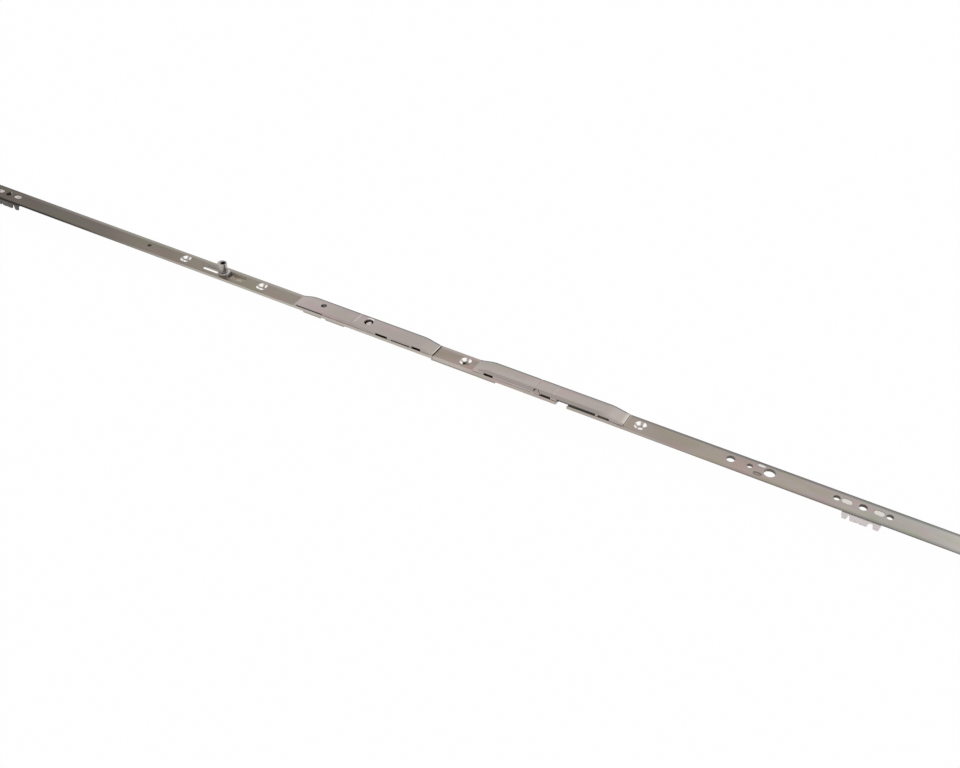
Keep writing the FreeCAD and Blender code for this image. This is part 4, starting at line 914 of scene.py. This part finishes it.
@dataclass(frozen=True)
class MouldedPlastic:
    """Injection-moulded plastic with a fine spark-eroded texture and flow marks."""

    name: str
    base: Colour
    shade: Colour
    peg_tone: Colour
    pips: Tuple[float, ...]
    roughness: float = 0.48
    corner: float = 0.3 * MM
    glow: float = 0.0
    glow_radius: Colour = (0.9, 0.95, 1.0)
    glow_depth: float = 2.0 * MM
    relief_strength: float = 0.12
    relief_depth: float = 0.04 * MM
    flow: Layer = Layer((90.0, 260.0, 260.0), 3.0, 0.55, (0.40, 0.66))
    flow_spread: float = 0.12
    texture: Layer = Layer(grey(6500.0), 2.0)
    texture_spread: float = 0.2
    peg_from: Pair = (1.2 * MM, 1.8 * MM)
    pip_radius: Pair = (0.95 * MM, 0.60 * MM)
    pip_share: float = 0.9

    def make(self) -> bpy.types.Material:
        """Builds the material."""
        tree = ShaderTree.named(self.name)
        x, y, z = tree.axes()
        flow = self.flow.noise(tree)
        texture = self.texture.noise(tree)
        colour = tree.mix(self.flow.mask(tree, flow), self.base, self.shade)
        colour = tree.mix(tree.step(z, *self.peg_from), colour, self.peg_tone)
        for centre in self.pips:
            along = x - centre
            reach = (along * along + y * y) ** 0.5
            pip = tree.step(reach, *self.pip_radius) * (z > self.peg_from[0])
            colour = tree.mix(pip * self.pip_share, colour, self.shade)
        rough = (texture - 0.5) * self.texture_spread + (flow - 0.5) * self.flow_spread
        normal = tree.soft_normal(self.corner, texture, self.relief_strength, self.relief_depth)
        return tree.surface(
            {
                "Base Color": colour,
                "Roughness": rough + self.roughness,
                "Subsurface Weight": self.glow,
                "Subsurface Radius": self.glow_radius,
                "Subsurface Scale": self.glow_depth,
                "Normal": normal,
            }
        )


# The object's sub-assemblies


class Assembly:
    """A sub-assembly of the espagnolette, whose pieces are all solids of the CAD frame."""

    @staticmethod
    def coat(nodes: Sequence[str], material: bpy.types.Material) -> None:
        """Gives CAD nodes one material.

        Args:
            nodes: The nodes' names.
            material: The material.
        """
        for name in nodes:
            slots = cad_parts[name].data.materials
            slots.clear()
            slots.append(material)
            LOG.info("dressed %s in %s", name, material.name)

    def dress(self) -> None:
        """Gives the sub-assembly its finishes."""
        raise NotImplementedError


# Where the lever's hinge stands along the faceplate, and the painted shade inside the channels beside it
HINGE_X = 0.0654
CHANNEL_INSIDE = Hollow(half=6.60 * MM, ceiling=5.35 * MM, seam=HINGE_X)

# Colours of the platings, by their place along the piece. The faceplate's ramp from near black at its left
# end to pale at its right end is a painted reflection.
STRIP_TONES = Tones(
    stops=(
        (0.06, (0.086, 0.070, 0.051)),
        (0.13, (0.120, 0.102, 0.086)),
        (0.22, (0.176, 0.152, 0.124)),
        (0.28, (0.228, 0.199, 0.164)),
        (0.38, (0.264, 0.232, 0.195)),
        (0.55, (0.345, 0.277, 0.248)),
        (0.76, (0.335, 0.287, 0.255)),
        (0.84, (0.342, 0.292, 0.276)),
        (0.90, (0.352, 0.350, 0.318)),
        (0.94, (0.450, 0.415, 0.405)),
    ),
    bright=(0.640, 0.610, 0.560),
)
COVER_TONES = Tones(
    stops=(
        (0.40, (0.432, 0.374, 0.360)),
        (0.54, (0.430, 0.378, 0.356)),
        (0.60, (0.443, 0.395, 0.367)),
        (0.65, (0.420, 0.371, 0.349)),
        (0.70, (0.392, 0.347, 0.326)),
    ),
    bright=(0.760, 0.735, 0.700),
    rosy=(1.03, 0.96, 0.98),
    green=(0.98, 1.00, 0.94),
)
GUIDE_TONES = Tones(
    stops=((0.40, (0.370, 0.320, 0.300)), (0.60, (0.360, 0.316, 0.292))),
    bright=(0.640, 0.610, 0.560),
)
# The rods' ramp is near black at the left end, painted shade seen through the holes there, and light
# further right, painted light so that the rods read lit down in the slots.
ROD_TONES = Tones(
    stops=(
        (0.10, (0.060, 0.050, 0.040)),
        (0.16, (0.380, 0.340, 0.290)),
        (0.40, (0.540, 0.490, 0.420)),
        (0.90, (0.660, 0.630, 0.580)),
    ),
    bright=(0.820, 0.800, 0.750),
    dark=(0.340, 0.280, 0.220),
)
SPRING_TONES = Tones(
    stops=((0.0, (0.250, 0.240, 0.225)), (1.0, (0.250, 0.240, 0.225))),
    bright=(0.420, 0.410, 0.390),
)


@dataclass
class FaceplateStrip(Assembly):
    """The long zinc-plated faceplate with its countersunk holes, and the guides under it."""

    screws: Tuple[float, ...] = (-0.545, -0.2805, -0.198, 0.0, 0.147, 0.425)
    # A painted shadow on the faceplate just past the covers' ramp end, and a painted light line just past
    # the lever's end, over the shade it casts there.
    cover_end_shadow: Line = Line(-0.02565, 0.35 * MM, 0.70)
    lever_end_light: Line = Line(0.1366, 0.7 * MM, 0.40)
    # Painted shade on the faceplate's top under the lever's slit, and painted light on it under the hinge
    # gap.
    slit_shade: GapShading = GapShading(0.0825, 0.1135, (0.020, 0.016, 0.013))
    hinge_gap_light: GapShading = GapShading(0.0609, 0.0633, (0.950, 0.900, 0.870))
    # Painted shade and painted light on the walls of the holes and slots: the dark tones are painted
    # shade, the pale ones painted light, and the white ones stand for light seen through a hole and under
    # a slot.
    bores: Tuple[Bore, ...] = (
        Bore(-0.56, -0.4951, (0.053, 0.045, 0.036)),
        Bore(-0.4951, -0.4920, (0.950, 0.910, 0.880)),
        Bore(-0.4920, -0.44, (0.053, 0.045, 0.036)),
        Bore(-0.30, -0.232, (0.420, 0.370, 0.350)),
        Bore(-0.232, -0.20, (0.400, 0.370, 0.290)),
        Bore(0.080, 0.116, (0.020, 0.015, 0.012)),
        Bore(0.20, 0.229, (0.150, 0.128, 0.105)),
        Bore(0.229, 0.2415, (0.210, 0.160, 0.150)),
        Bore(0.2415, 0.44, (0.150, 0.128, 0.105)),
        Bore(0.229, 0.2415, (0.700, 0.610, 0.585), 0.95, slot_y=-4.8 * MM),
        Bore(0.229, 0.2415, (0.950, 0.930, 0.900), 0.95, slot_y=5.2 * MM),
    )

    def dress(self) -> None:
        """Dresses the strip and the guides welded under it."""
        zinc = Plating(
            "zinc_faceplate",
            STRIP_TONES,
            painted_shading=PaintedShading.ROLLED_STRIP,
            cones=Cones(self.screws),
            bright_lines=(self.lever_end_light,),
            dark_lines=(self.cover_end_shadow,),
            bores=self.bores,
            gap_shadings=(self.slit_shade, self.hinge_gap_light),
        )
        self.coat(["faceplate"], zinc.make())
        guides = Plating("zinc_guides", GUIDE_TONES, roughness=0.42)
        self.coat(["left_rod_guide", "pinion_rod_guide", "middle_rod_guide", "rack_case"], guides.make())


@dataclass
class DriveRods(Assembly):
    """The two drive rods with the rack bar, its rivets and the guide studs."""

    button_x: float = -0.322
    # Lengths of the rods in other tones: a dark spot just right of the cam, then a reddish-brown patch and
    # a pale patch further right.
    tone_patches: Tuple[TonePatch, ...] = (
        TonePatch(-0.2335, 1.4 * MM, (0.040, 0.030, 0.022)),
        TonePatch(-0.2275, 3.2 * MM, (0.400, 0.280, 0.200)),
        TonePatch(-0.2190, 5.0 * MM, (0.500, 0.480, 0.370)),
    )

    def dress(self) -> None:
        """Dresses the rods in a plainer zinc than the faceplate."""
        # The rods' light tones are painted light, so that they read lit down in the faceplate's slots.
        zinc = Plating("zinc_rods", ROD_TONES, 0.40, metallic=0.30, pitting=0.3, tone_patches=self.tone_patches)
        self.coat(["left_drive_rod", "right_drive_rod", "rack_bar"], zinc.make())
        stud = TurnedSteel("turned_studs", (0.20, 0.19, 0.17), (0.14, 0.13, 0.12), self.button_x)
        self.coat(["guide_buttons"], stud.make())
        rivet = TurnedSteel("turned_rivets", (0.42, 0.40, 0.37), (0.34, 0.32, 0.29), 0.0)
        self.coat(["rack_rivets", "catch_stud"], rivet.make())


@dataclass
class GearCovers(Assembly):
    """The fixed covers, the pinion under them and the stop pin."""

    pinion_x: float = -0.090
    stop_x: float = -0.134
    # Painted highlights: light lines at the seam between the covers, at the covers' ramp end and at the
    # hinge seam.
    seam: Line = Line(-0.1005, 0.9 * MM, 0.28)
    ramp_end: Line = Line(-0.0262, 0.6 * MM, 0.75)
    hinge_seam: Line = Line(0.0627, 0.4 * MM, 0.30)
    rim_radius: float = 4.6 * MM

    def dress(self) -> None:
        """Dresses the covers, pinion, axle and stop pin."""
        # A painted highlight on the far rim of the pinion's hole.
        rim = Crescent(self.pinion_x, self.rim_radius, 0.6 * MM, (-0.08, 1.0), (0.97, 0.95, 0.92))
        pressed = Plating(
            "pressed_covers",
            COVER_TONES,
            roughness=0.34,
            grain=0.112,
            painted_shading=PaintedShading.PRESSED_CHANNEL,
            bright_lines=(self.seam, self.ramp_end, self.hinge_seam),
            crescents=(rim,),
            lit_holes=(self.pinion_x, self.stop_x),
            hollow=CHANNEL_INSIDE,
        )
        self.coat(["left_cover", "right_cover", "hinge_cover"], pressed.make())
        gear = TurnedSteel("milled_pinion", (0.40, 0.38, 0.36), (0.32, 0.31, 0.29), self.pinion_x)
        self.coat(["pinion", "pinion_washer"], gear.make())
        axle = TurnedSteel(
            "turned_axle",
            (0.56, 0.50, 0.48),
            (0.48, 0.43, 0.41),
            self.pinion_x,
            shadow=Shadow((-0.92, 0.38), 0.6 * MM),
        )
        self.coat(["pinion_axle"], axle.make())
        pin = TurnedSteel(
            "turned_stop_pin",
            (0.42, 0.39, 0.375),
            (0.36, 0.335, 0.32),
            self.stop_x,
            shadow=Shadow((0.0, -1.0), -1.2 * MM),
        )
        self.coat(["stop_pin"], pin.make())


@dataclass
class HingedLever(Assembly):
    """The lever, the hinge parts under it and its catch."""

    # Painted highlights: a thin line across the lever where it is pressed, and a soft band and a line at
    # its ramp end.
    press_highlight: Line = Line(0.0785, 0.3 * MM, 0.30)
    end_fade: Line = Line(0.1354, 2.6 * MM, 0.20)
    end_line: Line = Line(0.136, 1.0 * MM, 0.42)
    lit_end_x: float = 0.1350

    def dress(self) -> None:
        """Dresses the lever, the sector, the lug, the hinge pin and the catch."""
        pressed = Plating(
            "pressed_lever",
            COVER_TONES,
            roughness=0.34,
            grain=0.112,
            painted_shading=PaintedShading.PRESSED_CHANNEL,
            bright_lines=(self.press_highlight, self.end_fade, self.end_line),
            lit_holes=(self.lit_end_x,),
            hollow=CHANNEL_INSIDE,
        )
        self.coat(["lever"], pressed.make())
        milled = TurnedSteel("milled_sector", (0.43, 0.41, 0.38), (0.34, 0.32, 0.30), HINGE_X)
        self.coat(["lever_sector", "lever_lug"], milled.make())
        pin = TurnedSteel("turned_hinge_pin", (0.41, 0.365, 0.34), (0.38, 0.34, 0.32), HINGE_X, 0.34)
        self.coat(["hinge_pin"], pin.make())
        spring = Plating("spring_leaf", SPRING_TONES, roughness=0.30)
        self.coat(["lever_catch"], spring.make())


@dataclass
class RollerCam(Assembly):
    """The eccentric roller cam on the left rod."""

    centre_x: float = -0.238
    roller_x: float = -0.2392
    socket_top: float = 12.5 * MM
    # A painted highlight and a painted shade down the roller and bolt.
    streaks: Tuple[Streak, ...] = (
        Streak(0.02, 0.14, 0.75, (0.78, 0.76, 0.73)),
        Streak(-0.34, 0.12, 0.65, (0.050, 0.043, 0.036)),
    )

    def dress(self) -> None:
        """Dresses the bush, bolt and roller."""
        # The bush's light colour is painted light, so that it reads lit under the roller.
        bush = TurnedSteel("cam_bush", (0.60, 0.57, 0.54), (0.48, 0.45, 0.42), self.centre_x, metallic=0.5)
        self.coat(["cam_base"], bush.make())
        bolt = TurnedSteel(
            "cam_bolt_steel",
            (0.44, 0.41, 0.385),
            (0.34, 0.31, 0.29),
            self.roller_x,
            0.28,
            socket=KeySocket(self.centre_x, self.socket_top),
            streaks=self.streaks,
        )
        self.coat(["cam_bolt"], bolt.make())
        roller = TurnedSteel(
            "cam_roller_steel",
            (0.38, 0.35, 0.33),
            (0.29, 0.265, 0.25),
            self.roller_x,
            streaks=self.streaks,
        )
        self.coat(["cam_roller"], roller.make())


@dataclass
class MouldedClips(Assembly):
    """The two plastic clips."""

    left_pips: Pair = (-0.506, -0.482)
    right_pip: float = 0.324

    def dress(self) -> None:
        """Dresses the grey clip and the natural white one."""
        # The grey clip's dark body is painted shade under the plate; its pegs keep the plastic's lit light
        # grey.
        dark = MouldedPlastic(
            "grey_clip",
            (0.108, 0.093, 0.086),
            (0.080, 0.069, 0.063),
            (0.62, 0.56, 0.53),
            self.left_pips,
        )
        self.coat(["left_clip"], dark.make())
        white = MouldedPlastic(
            "natural_clip",
            (0.84, 0.765, 0.755),
            (0.80, 0.725, 0.700),
            (0.800, 0.735, 0.675),
            (self.right_pip,),
            roughness=0.42,
            glow=0.25,
            relief_strength=0.03,
        )
        self.coat(["right_clip"], white.make())


# Studio


@dataclass(frozen=True)
class Softbox:
    """A soft rectangular light."""

    name: str
    place: Triple
    power: float
    size: Pair = (2.4, 1.6)


@dataclass
class Studio:
    """The floor, the soft lights, the world and the camera of the photograph."""

    camera_place: Triple = (0.3490, -0.6047, 0.5558)
    forward: Triple = (-0.37473, 0.67436, -0.63625)
    roll_deg: float = 1.02
    lens: float = 43.12
    sensor: float = 36.0
    clip: Pair = (0.01, 100.0)
    softboxes: Tuple[Softbox, ...] = (
        Softbox("key_softbox", (0.9, 1.6, 1.7), 3.6),
        Softbox("fill_softbox", (-1.2, -1.4, 1.6), 1.6),
    )
    aim: Triple = (-0.05, 0.0, 0.0)
    sky: Colour = (0.96, 0.98, 1.0)
    sky_strength: float = 0.85
    floor_gap: float = 0.2 * MM
    floor_size: float = 12.0
    floor_matt: float = 0.92
    floor_white: float = 0.98

    def camera(self) -> None:
        """Sets the camera at the photograph's place and angle."""
        look = Vector(self.forward).normalized()
        flat_right = look.cross(Vector((0.0, 0.0, 1.0))).normalized()
        flat_up = flat_right.cross(look)
        roll = math.radians(self.roll_deg)
        right = flat_right * math.cos(roll) + flat_up * math.sin(roll)
        up = flat_up * math.cos(roll) - flat_right * math.sin(roll)
        turn = Matrix((right, up, -look)).transposed().to_4x4()
        data = bpy.data.cameras.new("photo_camera")
        data.lens = self.lens
        data.sensor_width = self.sensor
        data.sensor_fit = "HORIZONTAL"
        data.clip_start, data.clip_end = self.clip
        eye = bpy.data.objects.new("photo_camera", data)
        eye.matrix_world = Matrix.Translation(Vector(self.camera_place)) @ turn
        bpy.context.scene.collection.objects.link(eye)
        bpy.context.scene.camera = eye

    def lamps(self) -> None:
        """Adds the soft lights: a broad one behind on the right, and a weak one in front on the left."""
        for box in self.softboxes:
            data = bpy.data.lights.new(box.name, "AREA")
            data.shape = "RECTANGLE"
            data.size, data.size_y = box.size
            data.energy = box.power
            lamp = bpy.data.objects.new(box.name, data)
            turn = (Vector(self.aim) - Vector(box.place)).to_track_quat("-Z", "Y")
            lamp.matrix_world = Matrix.Translation(Vector(box.place)) @ turn.to_matrix().to_4x4()
            bpy.context.scene.collection.objects.link(lamp)

    @staticmethod
    def background_ray(tree: ShaderTree) -> Sock:
        """The factor that is 1 for rays that see the background."""
        path = tree.node("ShaderNodeLightPath", {}, {})
        seen = Sock(tree, path.outputs["Is Camera Ray"])
        for name in ("Is Glossy Ray", "Is Transmission Ray"):
            seen = seen.most(Sock(tree, path.outputs[name]))
        return seen

    def world(self) -> None:
        """A plain soft surrounding light, with a white background."""
        world = bpy.data.worlds.new("studio_world")
        bpy.context.scene.world = world
        tree = ShaderTree(world)
        soft = tree.add("ShaderNodeBackground", {}, {"Color": self.sky, "Strength": self.sky_strength})
        white = tree.add("ShaderNodeBackground", {}, {"Color": grey(1.0), "Strength": 1.0})
        both = tree.add("ShaderNodeMixShader", {}, {0: self.background_ray(tree), 1: soft, 2: white})
        tree.node("ShaderNodeOutputWorld", {}, {"Surface": both})

    def floor(self) -> None:
        """The pale floor, white to the camera apart from the object's soft shadow."""
        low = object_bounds()[0].z - self.floor_gap
        shape = bmesh.new()
        bmesh.ops.create_grid(shape, x_segments=1, y_segments=1, size=self.floor_size / 2)
        bmesh.ops.translate(shape, verts=shape.verts, vec=(0.0, 0.0, low))
        mesh = bpy.data.meshes.new("floor")
        shape.to_mesh(mesh)
        shape.free()
        floor = bpy.data.objects.new("floor", mesh)
        bpy.context.scene.collection.objects.link(floor)
        floor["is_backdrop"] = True
        tree = ShaderTree.named("pale_floor")
        matt = tree.add("ShaderNodeBsdfDiffuse", {}, {"Color": grey(self.floor_matt)})
        glow = tree.add("ShaderNodeEmission", {}, {"Color": grey(1.0), "Strength": 1.0})
        share = self.background_ray(tree) * self.floor_white
        both = tree.add("ShaderNodeMixShader", {}, {0: share, 1: matt, 2: glow})
        tree.node("ShaderNodeOutputMaterial", {}, {"Surface": both})
        mesh.materials.append(tree.owner)

    def build(self) -> None:
        """Builds the whole studio."""
        self.camera()
        self.world()
        self.lamps()
        self.floor()
        bpy.context.scene.view_settings.view_transform = "Standard"


def main() -> None:
    """Builds the studio and dresses the object, one sub-assembly after another."""
    logging.basicConfig(level=logging.INFO, format="%(message)s")
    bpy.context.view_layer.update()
    Studio().build()
    for assembly in (
        FaceplateStrip(),
        DriveRods(),
        GearCovers(),
        HingedLever(),
        RollerCam(),
        MouldedClips(),
    ):
        assembly.dress()


if __name__ == "__main__":
    main()
